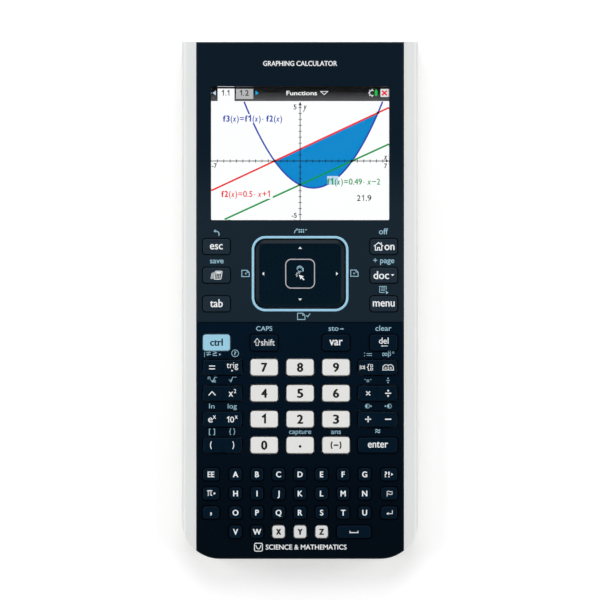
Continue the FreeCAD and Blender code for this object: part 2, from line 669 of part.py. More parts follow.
def side_rails():
    body = new_body("right_side_rail")
    groove_base = f"({SPLIT} + groove_rise)"
    profile = polygon(body, "rail_profile", (
        (FACE_HALF, PLATE_BASE),
        (f"({CASE_HALF_X} - rail_wall)", PLATE_BASE),
        (f"({CASE_HALF_X} - rail_wall)", SPLIT),
        (CASE_HALF_X, SPLIT),
        (CASE_HALF_X, groove_base),
        (f"({CASE_HALF_X} - groove_depth)", groove_base),
        (f"({CASE_HALF_X} - groove_depth)", f"({groove_base} + groove_height)"),
        (CASE_HALF_X, f"({groove_base} + groove_height)"),
        (CASE_HALF_X, f"({LIP_TOP} - rail_fall)"),
        (f"({FACE_HALF} + lip_width + lip_step)", f"({LIP_TOP} - lip_step)"),
        (f"({FACE_HALF} + lip_width)", LIP_TOP),
        (FACE_HALF, LIP_TOP),
    ))
    length = pad(body, profile, f"2 * {CASE_HALF_Y}", "rail_length", both_ways=True)
    outer_x, outer_z = size(CASE_HALF_X), size(f"{LIP_TOP} - rail_fall")

    def on_outer_edge(points):
        return all(abs(point.x - outer_x) + abs(point.z - outer_z) < 1e-4 for point in points)

    fillet(body, length, on_outer_edge, "rail_shoulder", "rail_shoulder_round")
    inner_span = (FACE_HALF, f"({CASE_HALF_X} - rail_wall)")
    cap = span(body, "rail_cap_outline", SPLIT, inner_span,
               (f"{CASE_HALF_Y} - case_wall", CASE_HALF_Y))
    pad(body, cap, f"({PLATE_BASE} - {SPLIT})", "rail_cap")
    corner = span(body, "rail_corner_outline", SPLIT, inner_span,
                  (f"-{CASE_HALF_Y}", f"corner_radius + case_wall - {CASE_HALF_Y}"))
    pad(body, corner, f"({PLATE_BASE} - {SPLIT})", "rail_corner")
    pocket(body, corner_waste(body), f"({LIP_TOP} - {SPLIT} + 2 * rail_wall)", "rail_corner_cut")
    node(body, "right_side_rail")
    twin = doc.addObject("Part::Mirroring", "left_side_rail")
    twin.Source = body
    twin.Normal = FreeCAD.Vector(1, 0, 0)
    node(twin, "left_side_rail")


def corner_waste(body):
    """What lies outside the round corner: its arc is centred on the sketch."""
    sketch = new_sketch(body, "corner_waste", f"{LIP_TOP} + rail_wall",
                        f"{CASE_HALF_X} - corner_radius", f"corner_radius - {CASE_HALF_Y}")
    radius = size("corner_radius")
    reach = radius + size("rail_wall")
    arc = Part.Circle(FreeCAD.Vector(0, 0, 0), FreeCAD.Vector(0, 0, 1), radius)
    sketch.addGeometry(Part.ArcOfCircle(arc, -math.pi / 2, 0))
    places = ((radius, 0), (reach, 0), (reach, -reach), (0, -reach), (0, -radius))
    for start, end in zip(places, places[1:]):
        sketch.addGeometry(Part.LineSegment(FreeCAD.Vector(*start, 0), FreeCAD.Vector(*end, 0)))
    sketch.addConstraint([
        Sketcher.Constraint("Coincident", 0, 3, -1, 1),
        Sketcher.Constraint("Coincident", 0, 2, 1, 1),
        Sketcher.Constraint("Coincident", 1, 2, 2, 1),
        Sketcher.Constraint("Coincident", 2, 2, 3, 1),
        Sketcher.Constraint("Coincident", 3, 2, 4, 1),
        Sketcher.Constraint("Coincident", 4, 2, 0, 1),
        Sketcher.Constraint("PointOnObject", 1, 2, -1),
        Sketcher.Constraint("Horizontal", 1),
        Sketcher.Constraint("Vertical", 2),
        Sketcher.Constraint("Horizontal", 3),
        Sketcher.Constraint("Vertical", 4),
        Sketcher.Constraint("PointOnObject", 4, 1, -2),
    ])
    dimension(sketch, "corner", Sketcher.Constraint("Radius", 0, radius), "corner_radius")
    reach_x = Sketcher.Constraint("DistanceX", -1, 1, 2, 1, reach)
    reach_y = Sketcher.Constraint("DistanceY", 2, 2, -1, 1, reach)
    dimension(sketch, "reach_x", reach_x, "(corner_radius + rail_wall)")
    dimension(sketch, "reach_y", reach_y, "(corner_radius + rail_wall)")
    return sketch


# keys

def key_body(name, family, top, x, y, count=1, rocker=False):
    """A key: cap, flange under the face and one or two plungers."""
    body = new_body(name)
    width, height = family["width"], family["height"]
    outline = rectangle(body, "cap_outline", FLANGE_BASE, width, height, "key_corner")
    cap = pad(body, outline, f"({top} - {FLANGE_BASE})", "cap")
    fillet(body, cap, at_level(top), "key_edge", "cap_edge")
    flange_x = "2 * rocker_tab" if rocker else f"({width} + 2 * flange_width)"
    flange = rectangle(body, "flange_outline", FLANGE_BASE, flange_x,
                       f"({height} + 2 * flange_width)")
    pad(body, flange, "flange_thickness", "flange")
    for index, offset in enumerate(family["plungers"]):
        stem = circle(body, f"plunger_outline{index}", PLUNGER_BASE, "plunger_radius", offset)
        pad(body, stem, f"({FLANGE_BASE} - {PLUNGER_BASE})", f"plunger{index}")
    if rocker:
        groove = rectangle(body, "groove_outline", top, "pair_groove", "2 * pair_height")
        pocket(body, groove, "pair_groove / 2", "groove")
    if count > 1:
        doc.recompute()
        row = body.newObject("PartDesign::LinearPattern", "row")
        row.TransformMode = "Whole shape"
        row.Direction = (outline, ["H_Axis"])
        row.Mode = "Spacing"
        bind(row, "Offset", "letter_pitch_x")
        row.Occurrences = count
        body.Tip = row
    bind(body, "Placement.Base.x", x)
    bind(body, "Placement.Base.y", y)
    return body


def digit_keys():
    names = ("0", "point", "negative", "1", "2", "3", "4", "5", "6", "7", "8", "9")
    for index, name in enumerate(names):
        x = f"{index % 3 - 1} * digit_pitch_x"
        y = f"{DIGIT_LAST_Y} + {index // 3} * digit_pitch_y"
        node(key_body(f"key_{name}", KEY_FAMILIES["digit"], KEY_TOP, x, y), f"key_{name}")


def command_keys():
    places = {"control": f"-{OUTER_X}", "shift": "-digit_pitch_x",
              "variable": "digit_pitch_x", "delete": OUTER_X}
    for name, x in places.items():
        body = key_body(f"key_{name}", KEY_FAMILIES["inner_command"], KEY_TOP, x, COMMAND_Y)
        node(body, f"key_{name}")


def rocker_keys():
    rows = (("brackets", "enter"), ("exponentials", "plus_minus"),
            ("powers", "times_divide"), ("equals_trig", "templates_catalog"))
    for row, names in enumerate(rows):
        for side, name in zip((-1, 1), names):
            rocker = name != "enter"
            label = f"rocker_{name}" if rocker else f"key_{name}"
            y = f"{DIGIT_LAST_Y} + {row} * digit_pitch_y"
            node(key_body(label, KEY_FAMILIES["pair"], KEY_TOP, f"{side} * {PAIR_X}", y,
                          rocker=rocker), label)


def menu_keys():
    rows = (("tab", "menu"), ("scratchpad", "document"), ("escape", "home"))
    for row, names in enumerate(rows):
        for side, name in zip((-1, 1), names):
            y = f"{MENU_Y} + {row} * menu_pitch"
            body = key_body(f"key_{name}", KEY_FAMILIES["menu"], MENU_TOP, f"{side} * {MENU_X}", y)
            node(body, f"key_{name}")


def letter_keys():
    left = "-3 * letter_pitch_x"
    for row in range(3):
        y = f"{LETTER_Y} - {row} * letter_pitch_y"
        keys = [key_body(f"letters_{row + 1}", KEY_FAMILIES["letter"], KEY_TOP, left, y, 7)]
        for side, end in ((-1, "left"), (1, "right")):
            keys.append(key_body(f"symbol_{end}_{row + 1}", KEY_FAMILIES["symbol"], KEY_TOP,
                                 f"{side} * {SYMBOL_X}", y))
        node(compound(f"letter_row_{row + 1}", keys), f"letter_row_{row + 1}")
    last = [key_body("letters_4", KEY_FAMILIES["letter"], KEY_TOP, left, LETTER_LAST_Y, 2)]
    last.append(key_body("space_bar", KEY_FAMILIES["space"], KEY_TOP, SPACE_X, LETTER_LAST_Y))
    node(compound("letter_row_4", last), "letter_row_4")
    axis_keys = key_body("axis_letter_keys", KEY_FAMILIES["last_letter"], KEY_TOP,
                         "-letter_pitch_x", LETTER_LAST_Y, 3)
    node(axis_keys, "axis_letter_keys")


# touchpad

def touchpad():
    body = new_body("touchpad")
    outline = rectangle(body, "touchpad_outline", TOUCHPAD_BASE, "touchpad_width", "touchpad_height",
                        "touchpad_corner")
    plate = pad(body, outline, "touchpad_thickness", "touchpad_plate")
    edges = edges_where(plate, at_level(TOUCHPAD_TOP))
    bevel = body.newObject("PartDesign::Chamfer", "touchpad_dish")
    bevel.Base = (plate, edges)
    bevel.ChamferType = "Two distances"
    bind(bevel, "Size", "touchpad_bevel_fall")
    bind(bevel, "Size2", "touchpad_bevel")
    body.Tip = bevel
    post = circle(body, "post_outline", f"{SENSOR_TOP} + post_gap", "post_radius")
    pad(body, post, f"({TILT_SPACE} - post_gap)", "post")
    bind(body, "Placement.Base.y", TOUCHPAD_Y)
    node(body, "touchpad")


def touchpad_sensor():
    body = new_body("touchpad_sensor")
    board = rectangle(body, "sensor_outline", SENSOR_BASE, "(touchpad_width - 2 * sensor_inset)",
                      "(touchpad_height - 2 * sensor_inset)", "(touchpad_corner - sensor_inset)")
    pad(body, board, "sensor_thickness", "sensor_board")
    post = circle(body, "post_outline", f"{SPRING_TOP} + post_gap", "post_radius")
    pad(body, post, f"({TILT_SPACE} - post_gap)", "post")
    bind(body, "Placement.Base.y", TOUCHPAD_Y)
    node(body, "touchpad_sensor")


def touchpad_spring():
    """Sheet-metal plate, opened out beside its central pad so that it can flex."""
    body = new_body("touchpad_spring")
    plate = rectangle(body, "spring_outline", SPRING_BASE, "(touchpad_width - 2 * sensor_inset)",
                      "(touchpad_height - 2 * sensor_inset)", "(touchpad_corner - sensor_inset)")
    pad(body, plate, "spring_thickness", "spring_plate")
    slot = rectangle(body, "slot_outline", SPRING_TOP, "(touchpad_width / 6)",
                     "(touchpad_height / 2)", "ring_width", "3 * post_radius + ring_width")
    mirror(body, [pocket(body, slot, "2 * spring_thickness", "slot")], "slots")
    bind(body, "Placement.Base.y", TOUCHPAD_Y)
    node(body, "touchpad_spring")


def touchpad_ring():
    body = new_body("touchpad_ring")
    corner = "(touchpad_corner + touchpad_gap + ring_width)"
    outer = rectangle(body, "ring_outline", PLATE_BASE, f"2 * {RING_HALF_X}", f"2 * {RING_HALF_Y}", corner)
    pad(body, outer, f"({UPPER_TOP} + ring_proud - {PLATE_BASE})", "ring")
    flange = rectangle(body, "ring_flange_outline", f"{PLATE_BASE} - ring_flange",
                       f"2 * ({RING_HALF_X} + ring_flange)", f"2 * ({RING_HALF_Y} + ring_flange)", corner)
    pad(body, flange, "ring_flange", "ring_foot")
    inner = rectangle(body, "ring_hole_outline", f"{UPPER_TOP} + ring_width",
                      "(touchpad_width + 2 * touchpad_gap)", "(touchpad_height + 2 * touchpad_gap)",
                      "(touchpad_corner + touchpad_gap)")
    ring = pocket(body, inner, "2 * keypad_space", "ring_hole")
    fillet(body, ring, at_level(f"{UPPER_TOP} + ring_proud"), "ring_width / 4", "ring_edge")
    bind(body, "Placement.Base.y", TOUCHPAD_Y)
    node(body, "touchpad_ring")


# display

def display_window():
    body = new_body("display_window")
    flange = rectangle(body, "flange_outline", WINDOW_BASE, f"2 * {WINDOW_HALF_X}",
                       f"2 * {WINDOW_HALF_Y}", "display_corner")
    pad(body, flange, "window_flange_thickness", "flange")
    lens = rectangle(body, "lens_outline", PLATE_BASE, "(display_width - fit_gap)",
                     "(display_height - fit_gap)", "display_corner")
    pad(body, lens, f"({UPPER_TOP} - window_recess - {PLATE_BASE})", "lens")
    bind(body, "Placement.Base.y", DISPLAY_Y)
    node(body, "display_window")


def lcd_panel():
    body = new_body("lcd_panel")
    outline = rectangle(body, "panel_outline", f"{WINDOW_BASE} - panel_thickness",
                        f"2 * {WINDOW_HALF_X}", f"2 * {WINDOW_HALF_Y}")
    pad(body, outline, "panel_thickness", "panel")
    bind(body, "Placement.Base.y", DISPLAY_Y)
    node(body, "lcd_panel")


def backlight_frame():
    body = new_body("backlight_frame")
    outline = rectangle(body, "frame_outline", BOARD_TOP, f"2 * {FRAME_HALF_X}", f"2 * {FRAME_HALF_Y}",
                        "frame_wall")
    pad(body, outline, f"({WINDOW_BASE} - {BOARD_TOP})", "frame")
    seat = rectangle(body, "panel_seat_outline", WINDOW_BASE, f"2 * ({WINDOW_HALF_X} + fit_gap)",
                     f"2 * ({WINDOW_HALF_Y} + fit_gap)")
    pocket(body, seat, "panel_thickness", "panel_seat")
    bind(body, "Placement.Base.y", DISPLAY_Y)
    node(body, "backlight_frame")


def display_cable():
    """Flat flexible cable: a foot on the board and an upright against the frame."""
    body = new_body("display_cable")
    frame_end = f"({DISPLAY_Y} - {FRAME_HALF_Y})"
    foot = span(body, "foot_outline", BOARD_TOP, both_sides("cable_width / 2"),
                (f"{frame_end} - cable_foot", frame_end))
    pad(body, foot, "cable_thickness", "foot")
    upright = span(body, "upright_outline", BOARD_TOP, both_sides("cable_width / 2"),
                   (f"{frame_end} - cable_thickness", frame_end))
    pad(body, upright, f"({WINDOW_BASE} - {BOARD_TOP} - cable_thickness)", "upright")
    node(body, "display_cable")


# inside

def circuit_board():
    body = new_body("circuit_board")
    outline = span(body, "board_outline", BOARD_BASE,
                   both_sides(f"{FACE_HALF} - case_wall - 4 * fit_gap"),
                   both_sides(f"{CASE_HALF_Y} - case_wall - 4 * fit_gap"), "cavity_corner")
    pad(body, outline, "board_thickness", "board")
    chips = ((DIGIT_Y, "processor_size", "processor_size"), (LETTER_Y, "memory_width", "memory_height"))
    for index, (y, width, height) in enumerate(chips):
        chip = rectangle(body, f"chip_outline{index}", f"{BOARD_BASE} - board_thickness", width, height,
                         y=y)
        pad(body, chip, "board_thickness", f"chip{index}")
    holes = []
    for index, (x, y) in enumerate(SCREW_PLACES):
        hole = circle(body, f"hole_outline{index}", BOARD_BASE, "(screw_radius + 2 * fit_gap)", x, y)
        holes.append(pocket(body, hole, "board_thickness", f"hole{index}", True))
    mirror(body, holes, "holes")
    reach_x = "(touchpad_width / 2 - sensor_inset - 2 * dome_radius)"
    reach_y = "(touchpad_height / 2 - sensor_inset - 2 * dome_radius)"
    domes = (("0", "0"), (reach_x, "0"), (f"-{reach_x}", "0"), ("0", reach_y), ("0", f"-{reach_y}"))
    for index, (x, y) in enumerate(domes):
        dome = circle(body, f"dome_outline{index}", BOARD_TOP, "dome_radius", x, f"{TOUCHPAD_Y} + {y}")
        pad(body, dome, "dome_height", f"dome{index}")
    node(body, "circuit_board")


def keypad_membrane():
    body = new_body("membrane_sheet")
    edge = "flange_width"
    low = f"{LETTER_LAST_Y} - letter_height / 2 - {edge}"
    high = f"{COMMAND_Y} + digit_height / 2 + {edge}"
    sheet_span = both_sides(f"{KEY_EDGE} + {edge} / 2")
    outline = span(body, "sheet_outline", BOARD_TOP, sheet_span, (low, high))
    pad(body, outline, "membrane_thickness", "sheet")
    neck_top = f"({MENU_Y} - menu_height / 2 - {edge})"
    outline = span(body, "neck_outline", BOARD_TOP, both_sides("(digit_pitch_x + digit_width / 2)"),
                   (f"({high} - membrane_thickness)", f"({neck_top} + membrane_thickness)"))
    pad(body, outline, "membrane_thickness", "neck")
    band_top = f"({neck_top} + menu_height / 2)"
    outline = span(body, "band_outline", BOARD_TOP, sheet_span, (neck_top, band_top))
    pad(body, outline, "membrane_thickness", "band")
    outline = span(body, "strip_outline", BOARD_TOP,
                   (f"{MENU_X} - menu_width / 2 - {edge}", f"{KEY_EDGE} + {edge} / 2"),
                   (neck_top, f"{MENU_Y} + 2 * menu_pitch + menu_height / 2 + {edge}"))
    mirror(body, [pad(body, outline, "membrane_thickness", "strip")], "strips")
    collars = [body]
    bores = []
    for name, family in KEY_FAMILIES.items():
        for index, offset in enumerate(family["plungers"]):
            place = f"{family['x']} + {offset}"
            collars.append(post_row(f"{name}_collar{index}", "(collar_bore + collar_wall)", place, family))
            bores.append(post_row(f"{name}_bore{index}", "collar_bore", place, family))
    sheet_with_collars = doc.addObject("Part::MultiFuse", "collared_sheet")
    sheet_with_collars.Shapes = collars
    node(cut("keypad_membrane", sheet_with_collars, compound("bores", bores)), "keypad_membrane")


def post_row(name, radius, x, family):
    """Round posts on the board, one under each plunger of a key family."""
    body = new_body(name)
    outline = circle(body, "post_outline", BOARD_TOP, radius, x, family["y"])
    pad(body, outline, f"({COLLAR_TOP} - {BOARD_TOP})", "post")
    return spread(body, outline, family)


def battery_parts():
    pack = solid_box("battery_pack", both_sides("battery_width / 2"),
                     (BATTERY_FOOT_Y, BATTERY_HEAD_Y), (BATTERY_BASE, BATTERY_TOP), "key_corner")
    node(pack, "battery_pack")
    body = new_body("battery_contacts")
    outline = span(body, "contact_outline", f"({BOARD_BASE} - contact_height)",
                   around("contact_pitch", "contact_width / 2"),
                   (f"{BATTERY_FOOT_Y} - contact_thickness", BATTERY_FOOT_Y))
    pad(body, outline, "contact_height", "contact")
    doc.recompute()
    row = body.newObject("PartDesign::LinearPattern", "row")
    row.TransformMode = "Whole shape"
    row.Direction = (outline, ["H_Axis"])
    row.Reversed = True
    row.Mode = "Spacing"
    bind(row, "Offset", "contact_pitch")
    row.Occurrences = 3
    body.Tip = row
    node(body, "battery_contacts")


def battery_door():
    body = new_body("battery_door")
    outline = span(body, "door_outline", DOOR_BASE, both_sides(DOOR_HALF_X), (DOOR_FOOT_Y, DOOR_HEAD_Y),
                   "key_corner")
    pad(body, outline, "door_thickness", "door")
    cup = circle(body, "cup_outline", DOOR_TOP, "cup_radius", DOOR_SCREW_X, DOOR_SCREW_Y)
    mirror(body, [pad(body, cup, "cup_height", "cup")], "cups")
    head = circle(body, "head_outline", DOOR_BASE, "(head_radius + fit_gap)", DOOR_SCREW_X, DOOR_SCREW_Y)
    head_bore = pocket(body, head, f"({CUP_TOP} - {DOOR_BASE} - door_thickness)", "head_bore", True)
    shank = circle(body, "shank_outline", DOOR_BASE, "(screw_radius + fit_gap)",
                   DOOR_SCREW_X, DOOR_SCREW_Y)
    shank_bore = pocket(body, shank, f"({CUP_TOP} - {DOOR_BASE})", "shank_bore", True)
    mirror(body, [head_bore, shank_bore], "bores")
    grip = rectangle(body, "grip_outline", DOOR_BASE, "battery_width / 3", "contact_thickness",
                     y=f"{DOOR_HEAD_Y} - door_tongue / 3")
    grip_cut = pocket(body, grip, "door_thickness / 3", "grip", True)
    lines = pattern(body, grip, "V_Axis", "2 * contact_thickness", 4, "grip_rows")
    lines.Reversed = True
    whole = body.newObject("PartDesign::MultiTransform", "grips")
    whole.Originals = [grip_cut]
    whole.Transformations = [lines]
    body.Tip = whole
    node(body, "battery_door")


def screw(name, x, y, head_base, shank_top):
    """Cross-head screw, head downwards."""
    body = new_body(name)
    head = pad(body, circle(body, "head_outline", head_base, "head_radius"), "head_height", "head")
    fillet(body, head, at_level(head_base), "head_height / 4", "head_edge")
    pad(body, circle(body, "shank_outline", f"{head_base} + head_height", "screw_radius"),
        f"({shank_top} - {head_base} - head_height)", "shank")
    slots = (("slot_length", "slot_width"), ("slot_width", "slot_length"))
    for index, (width, height) in enumerate(slots):
        slot = rectangle(body, f"slot_outline{index}", head_base, width, height)
        pocket(body, slot, "head_height / 2", f"slot{index}", True)
    bind(body, "Placement.Base.x", x)
    bind(body, "Placement.Base.y", y)
    return body


def screws():
    case_screws = []
    for index, (x, y) in enumerate(SCREW_PLACES):
        for side in (-1, 1):
            case_screws.append(screw(f"case_screw_{index}_{side + 1}", f"{side} * {x}", y,
                                     "(foot_proud + head_depth)", SCREW_TOP))
    node(compound("housing_screws", case_screws), "housing_screws")
    door_screws = []
    for side in (-1, 1):
        door_screws.append(screw(f"door_screw_{side + 1}", f"{side} * {DOOR_SCREW_X}", DOOR_SCREW_Y,
                                 f"({CUP_TOP} - door_thickness - head_height)",
                                 f"({DOOR_BOSS_TOP} - 2 * tip_space)"))
    node(compound("battery_door_screws", door_screws), "battery_door_screws")


def sockets():
    body = new_body("usb_socket")
    y_span = (f"{CASE_HALF_Y} - socket_recess - usb_depth", f"{CASE_HALF_Y} - socket_recess")
    outline = span(body, "usb_outline", f"{BOARD_BASE} - usb_height", both_sides("usb_width / 2"), y_span)
    pad(body, outline, "usb_height", "usb_shell")
    hollow = span(body, "usb_hollow_outline", f"{BOARD_BASE} - usb_wall",
                  both_sides("usb_width / 2 - usb_wall"),
                  (f"{CASE_HALF_Y} - socket_recess - usb_depth + 2 * usb_wall", f"{CASE_HALF_Y}"))
    pocket(body, hollow, "(usb_height - 2 * usb_wall)", "usb_hollow")
    tongue = span(body, "usb_tongue_outline", f"{BOARD_BASE} - usb_height / 2 - usb_wall",
                  both_sides("usb_width / 4"), (f"{y_span[0]} + usb_wall", f"{y_span[1]} - 2 * usb_wall"))
    pad(body, tongue, "2 * usb_wall", "usb_tongue")
    node(body, "usb_socket")
    body = new_body("dock_connector")
    outline = span(body, "dock_outline", f"{BOARD_BASE} - dock_height", both_sides("dock_width / 2"),
                   (f"socket_recess - {CASE_HALF_Y}", f"socket_recess + dock_depth - {CASE_HALF_Y}"))
    pad(body, outline, "dock_height", "dock_block")
    slot = rectangle(body, "dock_slot_outline", f"{BOARD_BASE} - dock_height / 2 + usb_wall",
                     "(dock_width - 4 * usb_wall)", "dock_depth", y=f"socket_recess - {CASE_HALF_Y}")
    pocket(body, slot, "2 * usb_wall", "dock_slot")
    node(body, "dock_connector")


def rubber_feet():
    body = new_body("rubber_feet")
    outline = circle(body, "foot_outline", "0", "(foot_radius - thread_gap)",
                     f"{CASE_HALF_X} - foot_inset_x", f"{CASE_HALF_Y} - foot_inset_y")
    foot = pad(body, outline, "(foot_proud + foot_seat)", "foot")
    fillet(body, foot, at_level("0"), "foot_rounding", "foot_edge")
    doc.recompute()
    corners = body.newObject("PartDesign::MultiTransform", "corners")
    steps = []
    for plane, name in (("YZ_Plane", "sides"), ("XZ_Plane", "ends")):
        step = doc.addObject("PartDesign::Mirrored", name)
        body.addObject(step)
        step.MirrorPlane = (base_plane(body, plane), [""])
        steps.append(step)
    corners.TransformMode = "Whole shape"
    corners.Transformations = steps
    body.Tip = corners
    node(body, "rubber_feet")


def reset_button():
    body = new_body("reset_button")
    stem = circle(body, "stem_outline", "foot_proud + reset_travel", "reset_radius")
    pad(body, stem, f"({BOARD_BASE} - foot_proud - 2 * reset_travel - fit_gap)", "stem")
    flange = circle(body, "flange_outline", f"{FLOOR_TOP} + fit_gap", "(reset_radius + reset_flange)")
    pad(body, flange, "flange_thickness", "flange")
    bind(body, "Placement.Base.y", f"{SEAM_Y} - reset_offset")
    node(body, "reset_button")


def check_and_export():
    doc.recompute()
    failed = [item.Name for item in doc.Objects if {"Invalid", "Error"} & set(item.State)]
    if failed:
        raise RuntimeError(f"failed objects: {failed}")
    for item in nodes:
        if item.Shape.isNull() or not item.Shape.isValid():
            raise RuntimeError(f"bad shape: {item.Label}")
    for item in nodes:
        item.Shape.exportStep(f"parts/{item.Label}.step")
        box = item.Shape.BoundBox
        print(f"{item.Label}: {len(item.Shape.Solids)} solid(s), {item.Shape.Volume:.1f} mm3, "
              f"z {box.ZMin:.2f} to {box.ZMax:.2f}")
    print(f"{len(nodes)} sub-parts")


rear_housing()
openings = face_openings()
front_housing(openings)
upper_faceplate(openings)
side_rails()
display_window()
lcd_panel()
backlight_frame()
display_cable()
circuit_board()
keypad_membrane()
digit_keys()
command_keys()
rocker_keys()
menu_keys()
letter_keys()
touchpad()
touchpad_sensor()
touchpad_spring()
touchpad_ring()
battery_parts()
battery_door()
screws()
sockets()
rubber_feet()
reset_button()
check_and_export()
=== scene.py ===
import math

import bmesh
import bpy
from mathutils import Matrix, Vector


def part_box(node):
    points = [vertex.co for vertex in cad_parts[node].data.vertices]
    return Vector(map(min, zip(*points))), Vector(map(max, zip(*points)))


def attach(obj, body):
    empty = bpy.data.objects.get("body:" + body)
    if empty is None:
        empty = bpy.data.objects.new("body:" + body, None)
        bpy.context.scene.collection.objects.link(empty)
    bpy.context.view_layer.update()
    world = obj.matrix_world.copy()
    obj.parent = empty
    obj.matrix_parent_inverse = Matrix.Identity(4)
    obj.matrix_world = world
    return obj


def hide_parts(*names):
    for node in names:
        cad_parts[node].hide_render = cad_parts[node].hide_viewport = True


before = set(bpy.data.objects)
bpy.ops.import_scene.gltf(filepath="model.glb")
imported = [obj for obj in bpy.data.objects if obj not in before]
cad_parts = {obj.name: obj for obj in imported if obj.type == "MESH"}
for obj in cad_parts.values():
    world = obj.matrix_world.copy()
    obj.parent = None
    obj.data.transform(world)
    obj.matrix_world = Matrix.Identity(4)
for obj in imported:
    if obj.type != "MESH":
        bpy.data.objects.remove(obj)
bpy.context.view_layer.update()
mm = 0.001
scene = bpy.context.scene
print("frame loaded:", len(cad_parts), "nodes")


# The studio: camera, light and floor.

studio = {
    "viewCentre": (-0.04, 0.16),  # mm, the middle of the picture on the face
    "viewWidth": 219.3,  # mm across the whole picture
    "viewPlane": 10.0,  # mm above the floor, where that width is measured
    "distance": 2400.0,  # mm from that plane to the lens
    "sensor": 36.0,
    "skyStrength": 0.80,  # even white tent round the object
    "openingStrength": 0.02,  # and the dark opening overhead
    "darkCone": (0.70, 0.91),  # sine of elevation where the tent's top opening begins and ends
    "wallFoot": 0.22,  # strength of the tent's wall where it meets the floor
    "wallRise": 0.38,  # sine of elevation where the wall reaches its full strength
    "floorSize": 16000.0,
    "paperGlow": 0.14,  # light coming through the paper from below
}


def addNode(tree, kind, settings=None, inputs=None):
    node = tree.nodes.new(kind)
    for key, value in (settings or {}).items():
        setattr(node, key, value)
    for key, value in (inputs or {}).items():
        if isinstance(value, bpy.types.NodeSocket):
            tree.links.new(value, node.inputs[key])
        else:
            node.inputs[key].default_value = value
    return node


def linear(hexColour):
    parts = [int(hexColour[i : i + 2], 16) / 255 for i in (1, 3, 5)]
    return [c / 12.92 if c <= 0.04045 else ((c + 0.055) / 1.055) ** 2.4 for c in parts] + [1.0]


def makeCamera():
    data = bpy.data.cameras.new("overheadCamera")
    data.sensor_width = studio["sensor"]
    data.lens = studio["sensor"] * studio["distance"] / studio["viewWidth"]
    data.clip_start, data.clip_end = 0.1, 100.0
    camera = bpy.data.objects.new("overheadCamera", data)
    scene.collection.objects.link(camera)
    x, y = studio["viewCentre"]
    camera.location = (x * mm, y * mm, (studio["viewPlane"] + studio["distance"]) * mm)
    scene.camera = camera


def makeSky():
    world = bpy.data.worlds.new("softTent")
    world.use_nodes = True
    tree = world.node_tree
    tree.nodes.clear()
    direction = addNode(tree, "ShaderNodeTexCoord")
    split = addNode(tree, "ShaderNodeSeparateXYZ", inputs={0: direction.outputs["Generated"]})
    wall = addNode(
        tree,
        "ShaderNodeMapRange",
        inputs={
            "Value": split.outputs["Z"],
            "From Min": 0.0,
            "From Max": studio["wallRise"],
            "To Min": studio["wallFoot"],
            "To Max": studio["skyStrength"],
        },
    )
    opening = addNode(
        tree,
        "ShaderNodeMapRange",
        {"interpolation_type": "SMOOTHSTEP"},
        {
            "Value": split.outputs["Z"],
            "From Min": studio["darkCone"][0],
            "From Max": studio["darkCone"][1],
            "To Min": wall.outputs["Result"],
            "To Max": studio["openingStrength"],
        },
    )
    light = addNode(
        tree,
        "ShaderNodeBackground",
        inputs={"Color": (1.0, 1.0, 1.0, 1.0), "Strength": opening.outputs["Result"]},
    )
    addNode(tree, "ShaderNodeOutputWorld", inputs={"Surface": light.outputs[0]})
    scene.world = world


softboxes = {
    # name: place mm, size mm, watts
    "boxTop": ((0, 1000, 1100), 900, 7.4),
    "boxLeft": ((-950, 100, 900), 700, 4.7),
    "boxRight": ((950, 0, 900), 700, 4.2),
}


def makeLights():
    for name, (place, side, watts) in softboxes.items():
        data = bpy.data.lights.new(name, "AREA")
        data.size = side * mm
        data.energy = watts
        lamp = bpy.data.objects.new(name, data)
        scene.collection.objects.link(lamp)
        lamp.location = Vector(place) * mm
        lamp.rotation_euler = (-Vector(place)).to_track_quat("-Z", "Y").to_euler()


def makeFloor():
    half = studio["floorSize"] * mm / 2
    mesh = bpy.data.meshes.new("floor")
    corners = [(-half, -half, 0), (half, -half, 0), (half, half, 0), (-half, half, 0)]
    mesh.from_pydata(corners, [], [(0, 1, 2, 3)])
    floor = bpy.data.objects.new("floor", mesh)
    scene.collection.objects.link(floor)
    paper = bpy.data.materials.new("whitePaperSweep")  # matt paper: an even white with no gloss
    paper.use_nodes = True
    shader = paper.node_tree.nodes["Principled BSDF"]
    shader.inputs["Base Color"].default_value = linear("#FBFBFB")
    shader.inputs["Roughness"].default_value = 0.9
    shader.inputs["Specular IOR Level"].default_value = 0.1
    shader.inputs["Emission Color"].default_value = (1.0, 1.0, 1.0, 1.0)
    shader.inputs["Emission Strength"].default_value = studio["paperGlow"]
    mesh.materials.append(paper)


scene.view_settings.view_transform = "Standard"
makeCamera()
makeSky()
makeLights()
makeFloor()
print("studio ready")


